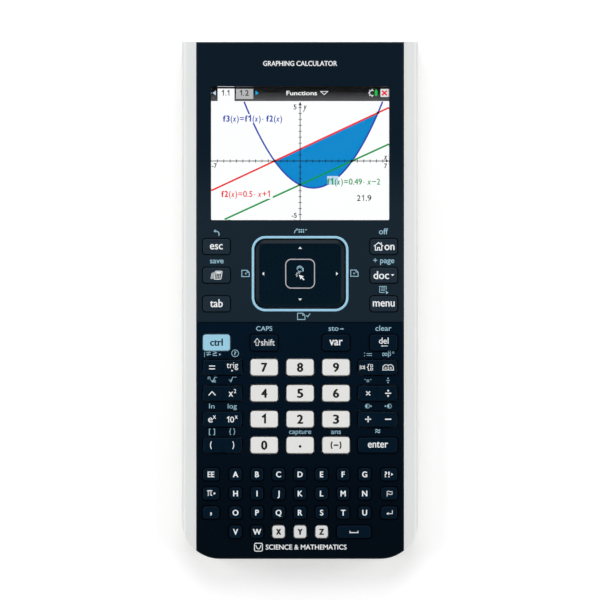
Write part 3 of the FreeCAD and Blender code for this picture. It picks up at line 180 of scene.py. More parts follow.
# Moulded and coated surfaces. tint and shade are the two colours that the surface drifts
# between over drift mm; grain is the size in mm of the mould texture, grainDepth its height.
# A real mould texture is near 0.05 mm, too fine to show, so grain is drawn several times coarser.
# fade darkens the colour along Y: where it starts, where it is full, and its colour. On the navy
# housing it is painted shade, darker towards the foot; on the slate plate it darkens towards the top.
coatings = {
    # spark-eroded ABS: soft even glow with a fine matt tooth
    "pale_shell": dict(name="sparkErodedAbs", tint="#D2D2CE", shade="#C8C8C4", roughness=0.55,
                       specular=0.45, drift=28, grain=0.55, grainDepth=0.02),
    # polished white ABS: clean white with a soft sheen on its shoulder
    "white_rail": dict(name="polishedWhiteAbs", tint="#E2E3E3", shade="#DBDCDC", roughness=0.30,
                       specular=0.5, drift=30, grain=1.6, grainDepth=0.003, coat=0.25),
    # navy lacquer over polycarbonate: nearly black, blue only where light falls on it; its fade is
    # painted shade, darker towards the foot
    "navy_shell": dict(name="navyLacquer", tint="#021424", shade="#000E1C", roughness=0.30,
                       specular=0.14, drift=34, grain=0.5, grainDepth=0.004,
                       fade=(-10, -88, "#000812")),
    # slate lacquer, greyer and a little lighter than the housing, and darker towards the top of the
    # plate
    "slate_faceplate": dict(name="slateLacquer", tint="#18262F", shade="#15222C", roughness=0.30,
                            specular=0.14, drift=26, grain=0.5, grainDepth=0.004,
                            fade=(26, 60, "#081824")),
    # satin polycarbonate: dark, with a soft even sheen over its dish
    "touchpad_plastic": dict(name="satinPolycarbonate", tint="#031723", shade="#02131F",
                             roughness=0.28, specular=0.14, drift=14, grain=0.4, grainDepth=0.004),
    # pale blue ABS: the one light line on the dark face
    "light_blue": dict(name="paleBlueAbs", tint="#9BCBE4", shade="#92C3DE", roughness=0.35,
                       specular=0.4, drift=9, grain=0.5, grainDepth=0.003),
    # pale blue key, duller than the ring from handling
    "light_blue_key": dict(name="paleBlueKeyAbs", tint="#99CBDF", shade="#90C3D9", roughness=0.38,
                           specular=0.35, drift=6, grain=0.35, grainDepth=0.004),
    # keys moulded in white ABS: even and satin, the axis keys a shade greyer
    "white_key": dict(name="greyWhiteKeyAbs", tint="#D8DADA", shade="#D1D3D3", roughness=0.4,
                      specular=0.4, drift=6, grain=0.35, grainDepth=0.004),
    "digit_key": dict(name="whiteKeyAbs", tint="#E3E3E1", shade="#DCDCDA", roughness=0.38,
                      specular=0.4, drift=7, grain=0.35, grainDepth=0.004),
    # dark keys in dyed ABS: satin tops whose edges stay dark
    "slate_key": dict(name="slateKeyAbs", tint="#1F2D38", shade="#1A2732", roughness=0.38,
                      specular=0.09, drift=7, grain=0.35, grainDepth=0.005),
    "navy_key": dict(name="navyKeyAbs", tint="#021626", shade="#00101E", roughness=0.40,
                     specular=0.07, drift=6, grain=0.35, grainDepth=0.005),
    # silicone rubber: dull, slightly milky
    "silicone": dict(name="siliconeRubber", tint="#9AA3A8", shade="#8C959B", roughness=0.65,
                     specular=0.3, drift=12, grain=0.6, grainDepth=0.01),
    # green solder mask: glossy, with the weave of the glass cloth just showing
    "green_board": dict(name="solderMaskedGlassEpoxy", tint="#1E5A34", shade="#174B2B",
                        roughness=0.35, specular=0.5, drift=5, grain=0.8, grainDepth=0.01),
    # amber film, smooth and slightly shiny
    "polyimide": dict(name="polyimideFilm", tint="#B5701F", shade="#A3611A", roughness=0.3,
                      specular=0.5, drift=6, grain=0.5, grainDepth=0.004),
    # shrunk film over the cells: a loose satin ripple
    "battery_wrap": dict(name="shrinkWrappedCell", tint="#3A4652", shade="#313C47",
                         roughness=0.33, specular=0.5, drift=18, grain=1.4, grainDepth=0.012),
    # black nylon, matt from the glass fibre in it
    "connector_plastic": dict(name="glassFilledNylon", tint="#17181A", shade="#101112",
                              roughness=0.5, specular=0.4, drift=3, grain=0.25, grainDepth=0.01),
    # acetal: dark grey, waxy
    "dark_plastic": dict(name="dyedAcetal", tint="#2A2D30", shade="#222528", roughness=0.4,
                         specular=0.4, drift=2, grain=0.25, grainDepth=0.006),
    # moulded rubber: blackish grey, dull, with a coarse tooth
    "grey_rubber": dict(name="mouldedRubber", tint="#4A4C4E", shade="#3F4143", roughness=0.8,
                        specular=0.25, drift=4, grain=0.4, grainDepth=0.03),
    # unlit panel: black and glossy behind the picture
    "display_glass": dict(name="unlitPanelGlass", tint="#0B0D10", shade="#08090C", roughness=0.12,
                          specular=0.5, drift=30, grain=6.0, grainDepth=0.001),
}
metals = {
    # tin plate as it leaves the press: pale grey, softly mirrored
    "frame_metal": dict(name="stampedTinPlate", tint="#A9ACAE", shade="#9A9DA0", roughness=0.34,
                        drift=9, grain=0.6, grainDepth=0.006),
    # bright rolled steel, the clearest reflections of the greys
    "spring_steel": dict(name="rolledSpringSteel", tint="#B7BABC", shade="#A6A9AC",
                         roughness=0.28, drift=5, grain=0.3, grainDepth=0.003),
    # thin gold over bronze: warm and bright
    "gold_contact": dict(name="goldFlashedBronze", tint="#D9A94B", shade="#C99A40",
                         roughness=0.22, drift=2, grain=0.2, grainDepth=0.002),
    # zinc plate, blotched from grey to pale
    "screw_steel": dict(name="zincPlatedSteel", tint="#B4B6B4", shade="#8E918F", roughness=0.32,
                        drift=1.5, grain=0.25, grainDepth=0.008),
    # nickel: warm grey, clean
    "socket_metal": dict(name="nickelPlatedShell", tint="#C2C1BC", shade="#ADACA7",
                         roughness=0.25, drift=3, grain=0.5, grainDepth=0.004),
}
# Screen-printed inks: opaque and dull, with a faint unevenness where they lie thinner.
inks = {
    "whiteInk": dict(name="whiteScreenInk", tint="#E9ECEE", shade="#DDE2E5"),
    "skyInk": dict(name="skyScreenInk", tint="#9AC2D3", shade="#8EB7C9"),
    "darkInk": dict(name="blackScreenInk", tint="#08090B", shade="#040506"),
    "steelInk": dict(name="slateBlueScreenInk", tint="#0C2638", shade="#081E2E"),
    "roseInk": dict(name="roseGreyScreenInk", tint="#B9B3B9", shade="#ABA6AC"),
}


def surface(values, metallic=0.0):
    material = bpy.data.materials.new(values["name"])
    material.use_nodes = True
    tree = material.node_tree
    shader = tree.nodes["Principled BSDF"]
    place = addNode(tree, "ShaderNodeTexCoord").outputs["Object"]
    drift = addNode(
        tree,
        "ShaderNodeTexNoise",
        inputs={"Vector": place, "Scale": 1 / (values["drift"] * mm), "Detail": 3.0},
    )
    grain = addNode(
        tree,
        "ShaderNodeTexNoise",
        inputs={"Vector": place, "Scale": 1 / (values["grain"] * mm), "Detail": 2.0},
    )
    tint = addNode(
        tree,
        "ShaderNodeMixRGB",
        inputs={
            "Fac": drift.outputs["Fac"],
            "Color1": linear(values["tint"]),
            "Color2": linear(values["shade"]),
        },
    )
    colour = tint
    # fade: a colour ramp along Y; on the navy housing it is painted shade towards the foot
    if "fade" in values:
        start, full, deep = values["fade"]
        split = addNode(tree, "ShaderNodeSeparateXYZ", inputs={0: place})
        darkeningAlongY = addNode(
            tree,
            "ShaderNodeMapRange",
            {"interpolation_type": "SMOOTHSTEP"},
            {"Value": split.outputs["Y"], "From Min": start * mm, "From Max": full * mm},
        )
        colour = addNode(
            tree,
            "ShaderNodeMixRGB",
            inputs={"Fac": darkeningAlongY.outputs[0], "Color1": tint.outputs[0], "Color2": linear(deep)},
        )
    gloss = addNode(
        tree,
        "ShaderNodeMapRange",
        inputs={
            "Value": grain.outputs["Fac"],
            "To Min": values["roughness"] - 0.05,
            "To Max": values["roughness"] + 0.05,
        },
    )
    bump = addNode(
        tree,
        "ShaderNodeBump",
        inputs={
            "Height": grain.outputs["Fac"],
            "Distance": values["grainDepth"] * mm,
            "Strength": 1.0,
        },
    )
    tree.links.new(colour.outputs[0], shader.inputs["Base Color"])
    tree.links.new(gloss.outputs["Result"], shader.inputs["Roughness"])
    tree.links.new(bump.outputs["Normal"], shader.inputs["Normal"])
    shader.inputs["Metallic"].default_value = metallic
    if not metallic:
        shader.inputs["Specular IOR Level"].default_value = values.get("specular", 0.35)
        shader.inputs["Coat Weight"].default_value = values.get("coat", 0.0)
        shader.inputs["Coat Roughness"].default_value = 0.15
    return material


def clearAcrylic():
    material = bpy.data.materials.new("clearAcrylic")  # cast acrylic: invisible but for its edge
    material.use_nodes = True
    shader = material.node_tree.nodes["Principled BSDF"]
    shader.inputs["Base Color"].default_value = linear("#FDFEFE")
    shader.inputs["Roughness"].default_value = 0.02
    shader.inputs["IOR"].default_value = 1.49
    shader.inputs["Transmission Weight"].default_value = 1.0
    return material


finishes = {slot: surface(values) for slot, values in coatings.items()}
finishes.update({slot: surface(values, metallic=1.0) for slot, values in metals.items()})
finishes["clear_window"] = clearAcrylic()
for key, values in inks.items():
    finishes[key] = surface(dict(values, roughness=0.5, specular=0.3, drift=2.5, grain=0.3,
                                 grainDepth=0.003))
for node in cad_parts.values():
    for slot in node.material_slots:
        slot.material = finishes[slot.material.name]
print("finishes ready:", len(finishes))


# Drawing tools make flat shapes in millimetres, one unit thick, and lay() puts them on a surface.

fontCap = 0.682  # cap height of the built-in letters, as a share of their size


def plainMesh(holder):
    # the mesh that an object's curve or modifiers make; the object itself goes
    bpy.context.view_layer.update()
    depsgraph = bpy.context.evaluated_depsgraph_get()
    mesh = bpy.data.meshes.new_from_object(holder.evaluated_get(depsgraph))
    bpy.data.objects.remove(holder)
    return mesh


def flatMesh(curve):
    holder = bpy.data.objects.new("drawing", curve)
    scene.collection.objects.link(holder)
    mesh = plainMesh(holder)
    bpy.data.curves.remove(curve)
    return mesh


def word(text, x, baseline, cap, width=None, bold=0.0, slant=0.0):
    # bold is how far, in mm, the letters spread each way past their drawn outline
    curve = bpy.data.curves.new("lettering", "FONT")
    curve.body = text
    curve.shear = slant
    curve.resolution_u = 4
    curve.extrude = 0.5
    mesh = flatMesh(curve)
    across = [v.co.x for v in mesh.vertices]
    middle, span = (min(across) + max(across)) / 2, max(across) - min(across)
    tall = cap / fontCap
    wide = (width - 2 * bold) / span if width else tall * 0.94
    mesh.transform(
        Matrix.Translation((x, baseline, 0))
        @ Matrix.Diagonal((wide, tall, 1, 1))
        @ Matrix.Translation((-middle, 0, 0))
    )
    if not bold:
        return mesh
    built = bmesh.new()
    spreads = ((-bold, 0), (bold, 0), (0, bold * 0.6), (0, -bold * 0.6))
    for i, (dx, dy) in enumerate(spreads):
        shift = Vector((dx, dy, 0.2 * i))  # each print lies a little above the one before
        mesh.transform(Matrix.Translation(shift))
        built.from_mesh(mesh)
        mesh.transform(Matrix.Translation(-shift))
    built.to_mesh(mesh)
    built.free()
    return mesh


def figureOne(x, baseline, cap, line):
    # the built-in font's one is a bare bar, so this one has its flag
    return stroke([(x - cap * 0.24, baseline + cap * 0.72), (x + line * 0.4, baseline + cap),
                   (x + line * 0.4, baseline)], line)


def area(*loops):
    curve = bpy.data.curves.new("shape", "CURVE")
    curve.dimensions = "2D"
    curve.fill_mode = "BOTH"
    curve.extrude = 0.5
    for loop in loops:
        spline = curve.splines.new("POLY")
        spline.points.add(len(loop) - 1)
        for point, (x, y) in zip(spline.points, loop):
            point.co = (x, y, 0, 1)
        spline.use_cyclic_u = True
    return flatMesh(curve)


def arc(x, y, radius, start, end, steps=10):
    turns = [math.radians(start + (end - start) * i / steps) for i in range(steps + 1)]
    return [(x + radius * math.cos(t), y + radius * math.sin(t)) for t in turns]


def ringOf(x, y, radius, steps=24):
    return arc(x, y, radius, 0, 360 - 360 / steps, steps - 1)


def roundBox(x, y, width, height, radius, steps=6):
    w, h = width / 2 - radius, height / 2 - radius
    corners = ((w, h, 0), (-w, h, 90), (-w, -h, 180), (w, -h, 270))
    return [p for cx, cy, a in corners for p in arc(x + cx, y + cy, radius, a, a + 90, steps)]


def stroke(points, width, closed=False):
    points = [Vector(p) for p in points]
    half, count = width / 2, len(points)
    left, right = [], []
    for i, point in enumerate(points):
        sides = []
        if i or closed:
            sides.append((point - points[i - 1]).normalized())
        if i < count - 1 or closed:
            sides.append((points[(i + 1) % count] - point).normalized())
        along = sum(sides, Vector((0, 0))).normalized()
        normal = Vector((-along.y, along.x))
        reach = half / max(0.4, normal.dot(Vector((-sides[0].y, sides[0].x))))
        left.append(tuple(point + normal * reach))
        right.append(tuple(point - normal * reach))
    if closed:
        return area(left, right)
    return area(left + right[::-1])


def rectangle(left, foot, right, head):
    return area([(left, foot), (right, foot), (right, head), (left, head)])


def dot(x, y, radius):
    return area(ringOf(x, y, radius, 16))


def pointer(x, y, length, width, turn):
    # a filled triangle that points along turn, in degrees
    spin = Matrix.Rotation(math.radians(turn), 2)
    corners = ((length / 2, 0), (-length / 2, width / 2), (-length / 2, -width / 2))
    return area([tuple(spin @ Vector(c) + Vector((x, y))) for c in corners])


def shown(name, mesh, body):
    piece = bpy.data.objects.new(name, mesh)
    scene.collection.objects.link(piece)
    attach(piece, body)
    return piece


def lay(name, shapes, level, finish, body, thickness=0.02):
    # joins the flat shapes into one piece whose underside is at level, in mm
    built = bmesh.new()
    for shape in shapes:
        built.from_mesh(shape)
        bpy.data.meshes.remove(shape)
    bmesh.ops.remove_doubles(built, verts=built.verts, dist=0.0005)
    bmesh.ops.recalc_face_normals(built, faces=built.faces)
    for vertex in built.verts:
        x, y, z = vertex.co
        vertex.co = (x * mm, y * mm, (level + (z + 0.5) * thickness) * mm)
    mesh = bpy.data.meshes.new(name)
    built.to_mesh(mesh)
    built.free()
    mesh.materials.append(finishes[finish])
    return shown(name, mesh, body)


def topOf(node):
    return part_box(node)[1].z / mm


printing = {"thickness": 0.02, "sink": 0.005}  # mm


def printOn(node, shapes, finish, body=None, suffix="Legend"):
    level = topOf(node) - printing["sink"]
    return lay(node + suffix, shapes, level, finish, body or node, printing["thickness"])


digitPrint = {"cap": 3.1, "width": 2.3, "bold": 0.2, "pitchX": 13.09, "top": -24.398, "pitchY": 9.46}


def digitLegends():
    digits = {"key_7": "7", "key_8": "8", "key_9": "9", "key_4": "4", "key_5": "5", "key_6": "6",
              "key_1": "1", "key_2": "2", "key_3": "3", "key_0": "0"}
    for i, (node, text) in enumerate(digits.items()):
        x = (i % 3 - 1) * digitPrint["pitchX"]
        y = digitPrint["top"] - i // 3 * digitPrint["pitchY"]
        shape = word(text, x, y - digitPrint["cap"] / 2, digitPrint["cap"], digitPrint["width"],
                     digitPrint["bold"])
        if text == "1":
            shape = figureOne(x, y - digitPrint["cap"] / 2, digitPrint["cap"], 0.74)
        printOn(node, [shape], "darkInk")
    low = digitPrint["top"] - 3 * digitPrint["pitchY"]
    pitch = digitPrint["pitchX"]
    printOn("key_point", [dot(0, low - 0.45, 0.5)], "darkInk")
    left = stroke(arc(pitch + 0.85, low, 2.6, 150, 210, 8), 0.48)
    right = stroke(arc(pitch - 0.85, low, 2.6, -30, 30, 8), 0.48)
    bar = stroke([(pitch - 0.85, low), (pitch + 0.85, low)], 0.52)
    printOn("key_negative", [left, bar, right], "darkInk")


def houseIcon(x, y):
    # roof, walls with an open door and a chimney, about 3.3 by 2.9 mm
    roof = stroke([(x - 1.65, y + 0.05), (x, y + 1.35), (x + 1.65, y + 0.05)], 0.34)
    walls = stroke([(x - 1.15, y + 0.2), (x - 1.15, y - 1.4), (x - 0.35, y - 1.4),
                    (x - 0.35, y - 0.45), (x + 0.35, y - 0.45), (x + 0.35, y - 1.4),
                    (x + 1.15, y - 1.4), (x + 1.15, y + 0.2)], 0.34)
    chimney = stroke([(x + 0.95, y + 0.75), (x + 0.95, y + 1.4)], 0.4)
    return [roof, walls, chimney]


def scratchpadIcon(x, y):
    # a slanted pocket calculator with three speed lines behind it
    def lean(px, py):
        return (x + px + py * 0.18, y + py)

    case = [lean(px, py) for px, py in roundBox(0.55, 0, 2.5, 2.9, 0.35)]
    parts = [stroke(case, 0.28, closed=True)]
    parts.append(area([lean(px, py) for px, py in roundBox(0.55, 0.85, 1.8, 0.6, 0.1)]))
    for column in range(3):
        for row in range(3):
            px, py = lean(-0.1 + column * 0.62, 0.1 - row * 0.5)
            parts.append(dot(px, py, 0.17))
    for i in range(3):
        parts.append(stroke([lean(-1.15 - i * 0.36, 1.2 - i * 0.25),
                             lean(-1.15 - i * 0.36, -1.35)], 0.17))
    return parts


menuPrint = {"cap": 2.8, "bold": 0.07}


def menuLegends():
    cap, bold = menuPrint["cap"], menuPrint["bold"]
    words = {
        "key_escape": [("esc", -30.55, 18.65, 4.7)],
        "key_tab": [("tab", -30.52, -2.4, 4.7)],
        "key_home": [("on", 32.6, 18.4, 3.7)],
        "key_document": [("doc", 29.6, 7.85, 5.7)],
        "key_menu": [("menu", 30.5, -2.2, 8.0)],
        "key_scratchpad": [],
    }
    for node, texts in words.items():
        shapes = [word(text, x, y, cap, width, bold) for text, x, y, width in texts]
        if node == "key_home":
            shapes += houseIcon(28.6, 19.75)
        if node == "key_document":
            shapes.append(pointer(33.7, 9.2, 0.7, 1.25, -90))
        if node == "key_scratchpad":
            shapes += scratchpadIcon(-30.45, 9.2)
        printOn(node, shapes, "whiteInk")


def commandLegends():
    printOn("key_control", [word("ctrl", -30.5, -16.5, 2.55, 4.7, 0.12)], "steelInk")
    arrow = [(-16.0, -15.15), (-14.95, -13.85), (-13.9, -15.15), (-14.5, -15.15), (-14.5, -16.4),
             (-15.4, -16.4), (-15.4, -15.15)]
    shift = [stroke([(x - 0.7, y) for x, y in arrow], 0.19, closed=True)]
    shift.append(word("shift", -11.75, -16.45, 2.3, 5.0))
    printOn("key_shift", shift, "whiteInk")
    printOn("key_variable", [word("var", 13.1, -16.35, 2.95, 4.85, 0.07)], "whiteInk")
    erase = [word("del", 30.5, -15.75, 2.2, 3.5, 0.03)]
    erase.append(stroke([(31.9, -16.6), (29.9, -16.6)], 0.24))
    erase.append(pointer(29.8, -16.6, 0.65, 0.75, 180))
    printOn("key_delete", erase, "whiteInk")
    printOn("key_enter", [word("enter", 28.4, -53.65, 2.7, 7.4, 0.05)], "whiteInk")


def rockerLegends():
    rows = [digitPrint["top"] - digitPrint["pitchY"] * i for i in range(4)]
    left, right = (-32.1, -24.7), (24.8, 32.1)
    y = rows[0]
    equals = [stroke([(left[0] - 1.1, y + d), (left[0] + 1.1, y + d)], 0.36) for d in (0.5, -0.55)]
    trig = [word("trig", left[1], y - 0.25, 2.2, 4.2), pointer(left[1], y - 1.2, 0.7, 0.7, 0)]
    printOn("rocker_equals_trig", equals + trig, "whiteInk")
    y = rows[1]
    caret = stroke([(left[0] - 1.25, y - 0.75), (left[0], y + 0.6), (left[0] + 1.25, y - 0.75)], 0.34)
    square = [word("x", left[1] - 0.55, y - 1.15, 2.6, 1.65, 0.04),
              word("2", left[1] + 0.95, y + 0.1, 1.4, 0.9, 0.02)]
    printOn("rocker_powers", [caret] + square, "whiteInk")
    y = rows[2]
    growth = [word("e", left[0] - 0.6, y - 1.15, 2.6, 1.65, 0.04),
              word("x", left[0] + 0.85, y + 0.15, 1.9, 1.1, 0.02),
              figureOne(left[1] - 1.45, y - 1.15, 2.05, 0.32),
              word("0", left[1] - 0.1, y - 1.15, 2.05, 1.5, 0.03),
              word("x", left[1] + 1.4, y + 0.15, 1.8, 1.05, 0.02)]
    printOn("rocker_exponentials", growth, "whiteInk")
    y = rows[3]
    brackets = [stroke(arc(left[0] + 2.0, y, 2.6, 148, 212, 8), 0.3),
                stroke(arc(left[1] - 2.1, y, 2.6, -32, 32, 8), 0.3)]
    printOn("rocker_brackets", brackets, "whiteInk")
    y = rows[0]
    template = [stroke([(24.0 - 0.5, y + 0.8), (24.0 - 0.5, y - 0.8)], 0.22)]
    template += [stroke(roundBox(22.75, y, 0.9, 0.9, 0.12), 0.2, True)]
    template += [stroke([(21.9, y + 0.8), (21.9, y - 0.8)], 0.22)]
    template += [stroke([(25.35, y + 1.2), (24.85, y + 1.0), (24.85, y + 0.3), (24.5, y),
                         (24.85, y - 0.3), (24.85, y - 1.0), (25.35, y - 1.2)], 0.24)]
    template += [stroke(roundBox(26.05, y + d, 0.75, 0.75, 0.1), 0.2, True) for d in (0.62, -0.62)]
    cover = [(-1.95, -1.0), (-1.85, 0.35), (-1.2, 0.95), (-0.4, 0.95), (0.0, 0.6), (0.4, 0.95),
             (1.2, 0.95), (1.85, 0.35), (1.95, -1.0), (0.3, -1.0), (0, -0.8), (-0.3, -1.0)]
    book = [stroke([(32.1 + px, y + py) for px, py in cover], 0.26, True),
            stroke([(32.1, y + 0.6), (32.1, y - 0.8)], 0.24)]
    for side in (-1, 1):
        book.append(stroke([(32.1 + side * 0.55, y), (32.1 + side * 1.25, y)], 0.2))
        book.append(stroke([(32.1 + side * 0.55, y - 0.45), (32.1 + side * 1.35, y - 0.45)], 0.2))
    printOn("rocker_templates_catalog", template + book, "whiteInk")
    y = rows[1]
    size = 0.72
    times = [stroke([(right[0] - size, y - size), (right[0] + size, y + size)], 0.38),
             stroke([(right[0] - size, y + size), (right[0] + size, y - size)], 0.38)]
    divide = [stroke([(right[1] - 1.1, y), (right[1] + 1.1, y)], 0.4),
              dot(right[1], y + 0.95, 0.34), dot(right[1], y - 0.95, 0.34)]
    printOn("rocker_times_divide", times + divide, "whiteInk")
    y = rows[2]
    plus = [stroke([(right[0] - 1.1, y), (right[0] + 1.1, y)], 0.42),
            stroke([(right[0], y - 1.1), (right[0], y + 1.1)], 0.42)]
    minus = [stroke([(right[1] - 1.15, y), (right[1] + 1.15, y)], 0.42)]
    printOn("rocker_plus_minus", plus + minus, "whiteInk")


letterPrint = {
    "cap": 2.0, "bold": 0.09, "axisBold": 0.2, "axisWidth": 1.9,
    "left": -23.55, "pitchX": 7.85, "top": -63.428, "pitchY": 6.98, "edge": 32.49,
}


def letterLegends():
    cap, bold = letterPrint["cap"], letterPrint["bold"]
    rows = ("ABCDEFG", "HIJKLMN", "OPQRSTU", "VW")
    level = [letterPrint["top"] - i * letterPrint["pitchY"] for i in range(4)]
    low, high = -letterPrint["edge"], letterPrint["edge"]
    extras = {
        0: [word("EE", low, level[0] - cap / 2, cap, 2.5, 0.06),
            word("?!", high - 0.75, level[0] - cap / 2, cap, 1.9, 0.06),
            pointer(high + 1.1, level[0], 0.8, 0.95, 0)],
        1: [word("π", low - 0.5, level[1] - 0.8, 2.5, 1.9, 0.06),
            pointer(low + 1.35, level[1] + 0.05, 0.8, 0.95, 0),
            stroke([(high - 0.75, level[1] - 1.05), (high - 0.75, level[1] + 0.85)], 0.24),
            stroke([(high - 0.75, level[1] + 0.8), (high - 0.2, level[1] + 0.9),
                    (high + 0.35, level[1] + 0.6), (high + 1.05, level[1] + 0.75),
                    (high + 1.05, level[1] - 0.25), (high + 0.35, level[1] - 0.4),
                    (high - 0.2, level[1] - 0.1), (high - 0.75, level[1] - 0.2)], 0.2)],
        2: [word(",", low, level[2] - 0.5, 3.4, 0.6, 0.08),
            stroke([(high + 1.15, level[2] + 0.85), (high + 1.15, level[2] - 0.35),
                    (high - 0.4, level[2] - 0.35)], 0.24),
            pointer(high - 0.65, level[2] - 0.35, 0.85, 1.0, 180)],
        3: [stroke([(18.2, level[3] + 0.35), (18.2, level[3] - 0.3), (21.1, level[3] - 0.3),
                    (21.1, level[3] + 0.35)], 0.3)],
    }
    for i, letters in enumerate(rows):
        shapes = extras[i]
        for column, letter in enumerate(letters):
            x = letterPrint["left"] + column * letterPrint["pitchX"]
            shapes.append(word(letter, x, level[i] - cap / 2, cap, None, bold))
        printOn(f"letter_row_{i + 1}", shapes, "whiteInk")
    axes = []
    for column, letter in enumerate("XYZ"):
        x = letterPrint["left"] + (column + 2) * letterPrint["pitchX"]
        axes.append(word(letter, x, level[3] - cap / 2, cap, letterPrint["axisWidth"],
                         letterPrint["axisBold"]))
    printOn("axis_letter_keys", axes, "darkInk")


digitLegends()
menuLegends()
commandLegends()
rockerLegends()
letterLegends()
print("key legends printed")


def pageIcon(x, y, turn=0):
    # a page with a folded corner, 2.9 by 2.4 mm, with a small pointer inside it when turn is given
    outline = [(-1.35, -1.15), (1.35, -1.15), (1.35, 0.35), (0.55, 1.15), (-1.35, 1.15)]
    parts = [stroke([(x + px, y + py) for px, py in outline], 0.26, True)]
    parts.append(stroke([(x + 0.5, y + 1.1), (x + 0.55, y + 0.35), (x + 1.3, y + 0.35)], 0.2))
    if turn is not None:
        parts.append(pointer(x, y - 0.05, 0.6, 0.8, turn))
    return parts


def faceplateLegends():
    undo = [stroke(arc(-30.7, 24.15, 1.15, 100, -30, 10), 0.3), pointer(-31.15, 25.25, 0.9, 1.15, 195)]
    shapes = undo + [word("save", -30.4, 13.55, 1.95, 5.0, 0.03),
                     word("off", 30.4, 24.15, 2.1, 3.3, 0.03),
                     word("+ page", 30.5, 13.65, 1.95, 7.7, 0.03)]
    shapes += pageIcon(-19.9, 9.85, 180) + pageIcon(19.8, 9.95, 0) + pageIcon(0.4, -5.8, None)
    shapes.append(stroke([(2.3, -5.5), (2.75, -5.95), (3.65, -4.8)], 0.28))
    shapes.append(stroke([(-2.1, 24.5), (-1.9, 25.3), (-1.2, 25.9)], 0.3))
    shapes.append(pointer(-1.0, 26.0, 0.75, 0.85, 35))
    for column in range(3):
        for row in range(2):
            shapes.append(area(roundBox(-0.3 + column * 0.75, 25.75 - row * 0.75, 0.5, 0.5, 0.08)))
    shapes.append(pointer(2.15, 25.7, 0.5, 0.75, -90))
    shapes.append(stroke([(29.0, 2.9), (29.0, 5.1), (31.4, 5.1), (31.4, 3.9)], 0.22))
    shapes.append(stroke([(29.0, 2.9), (30.8, 2.9)], 0.22))
    for i in range(3):
        shapes.append(stroke([(29.5, 4.6 - i * 0.5), (31.0, 4.6 - i * 0.5)], 0.18))
    shapes.append(pointer(31.5, 3.1, 1.2, 0.95, 120))
    printOn("upper_faceplate", shapes, "skyInk", "case")


def housingLegends():
    shapes = [word("CAPS", -13.1, -11.05, 1.6, 5.9, 0.02), word("sto", 12.2, -11.05, 1.85, 3.6, 0.02),
              word("clear", 30.4, -11.05, 1.9, 5.9, 0.02)]
    shapes += [stroke([(14.5, -10.4), (15.4, -10.4)], 0.26), pointer(15.7, -10.4, 0.6, 0.75, 0)]
    y = -19.7
    shapes += [stroke([(-34.85, y - 0.95), (-34.85, y + 0.95)], 0.18),
               word("≠", -33.4, y - 0.6, 2.3, 1.6),
               word("≥", -31.1, y - 0.6, 2.3, 1.5), pointer(-29.2, y, 0.7, 0.8, 0),
               stroke(ringOf(-23.7, y + 0.4, 1.25), 0.2, True),
               word("?", -23.7, y - 0.25, 1.3, 0.8, 0.04),
               stroke([(24.3, y + 0.35), (26.2, y + 0.35)], 0.2),
               stroke([(24.3, y - 0.35), (26.2, y - 0.35)], 0.2),
               dot(23.5, y + 0.5, 0.17), dot(23.5, y - 0.5, 0.17), word("∞", 30.9, y - 0.9, 2.1, 1.9),
               word("β", 32.6, y - 0.55, 1.9, 1.1), stroke(ringOf(34.0, y + 0.7, 0.3, 12), 0.16, True)]
    y = -29.15
    shapes += [word("n", -33.2, y + 0.35, 1.5, 0.9), word("√", -31.8, y - 0.85, 2.0, 1.9),
               word("x", -31.1, y - 0.8, 1.4, 0.9), stroke([(-31.2, y + 1.1), (-30.3, y + 1.1)], 0.15),
               word("√", -25.2, y - 0.75, 1.9, 1.5),
               stroke([(-24.5, y + 1.17), (-23.2, y + 1.17)], 0.16)]
    shapes += [stroke([(23.5, y + 0.3), (23.9, y + 0.3)], 0.22),
               stroke([(25.6, y + 0.3), (26.0, y + 0.3)], 0.22),
               stroke(roundBox(24.75, y - 0.2, 0.7, 0.7, 0.1), 0.17, True), dot(32.1, y + 0.75, 0.26),
               stroke([(31.5, y), (32.7, y)], 0.2), dot(32.1, y - 0.75, 0.26)]
    y = -38.55
    shapes += [word("ln", -32.2, y - 0.85, 1.75, 2.0), word("log", -24.75, y - 0.85, 1.75, 3.3)]
    for x, side in ((24.5, 1), (32.5, -1)):
        half = arc(x, y, 0.85, 90, 270, 12)
        shapes += [area(half), stroke(ringOf(x, y, 0.8), 0.17, True),
                   pointer(x + side * 1.45, y, 0.6, 0.8, 0 if side > 0 else 180)]
    y = -47.95
    shapes += [word("[ ]", -32.15, y - 0.6, 1.75, 2.2), word("{ }", -24.75, y - 0.6, 1.75, 2.2),
               word("capture", 0.0, y - 0.75, 1.8, 8.0), word("ans", 13.1, y - 0.75, 1.8, 3.6),
               word("≈", 28.3, y - 0.75, 2.5, 1.8)]
    printOn("front_housing", shapes, "skyInk", "case")


faceplateLegends()
housingLegends()

makerPrint = {
    "top": ("GRAPHING CALCULATOR", 0.0, 85.55, 1.75, 27.0),
    "foot": ("SCIENCE & MATHEMATICS", 2.2, -90.85, 1.75, 29.5),
}
printOn("upper_faceplate", [word(*makerPrint["top"], bold=0.05)], "whiteInk", "case", "Title")
curveMark = [stroke(roundBox(-15.2, -90.0, 2.9, 2.9, 0.5), 0.28, True),
             stroke([(-16.2 + i * 0.2, -90.7 + 0.06 * (i - 5) ** 2) for i in range(11)], 0.26)]
printOn("front_housing", curveMark + [word(*makerPrint["foot"], bold=0.04)], "whiteInk", "case",
        "Title")

touchpadPrint = {"centre": (0.0, 9.753), "outline": 10.5, "corner": 2.0, "line": 0.36,
                 "reachX": 13.5, "reachY": 9.45}


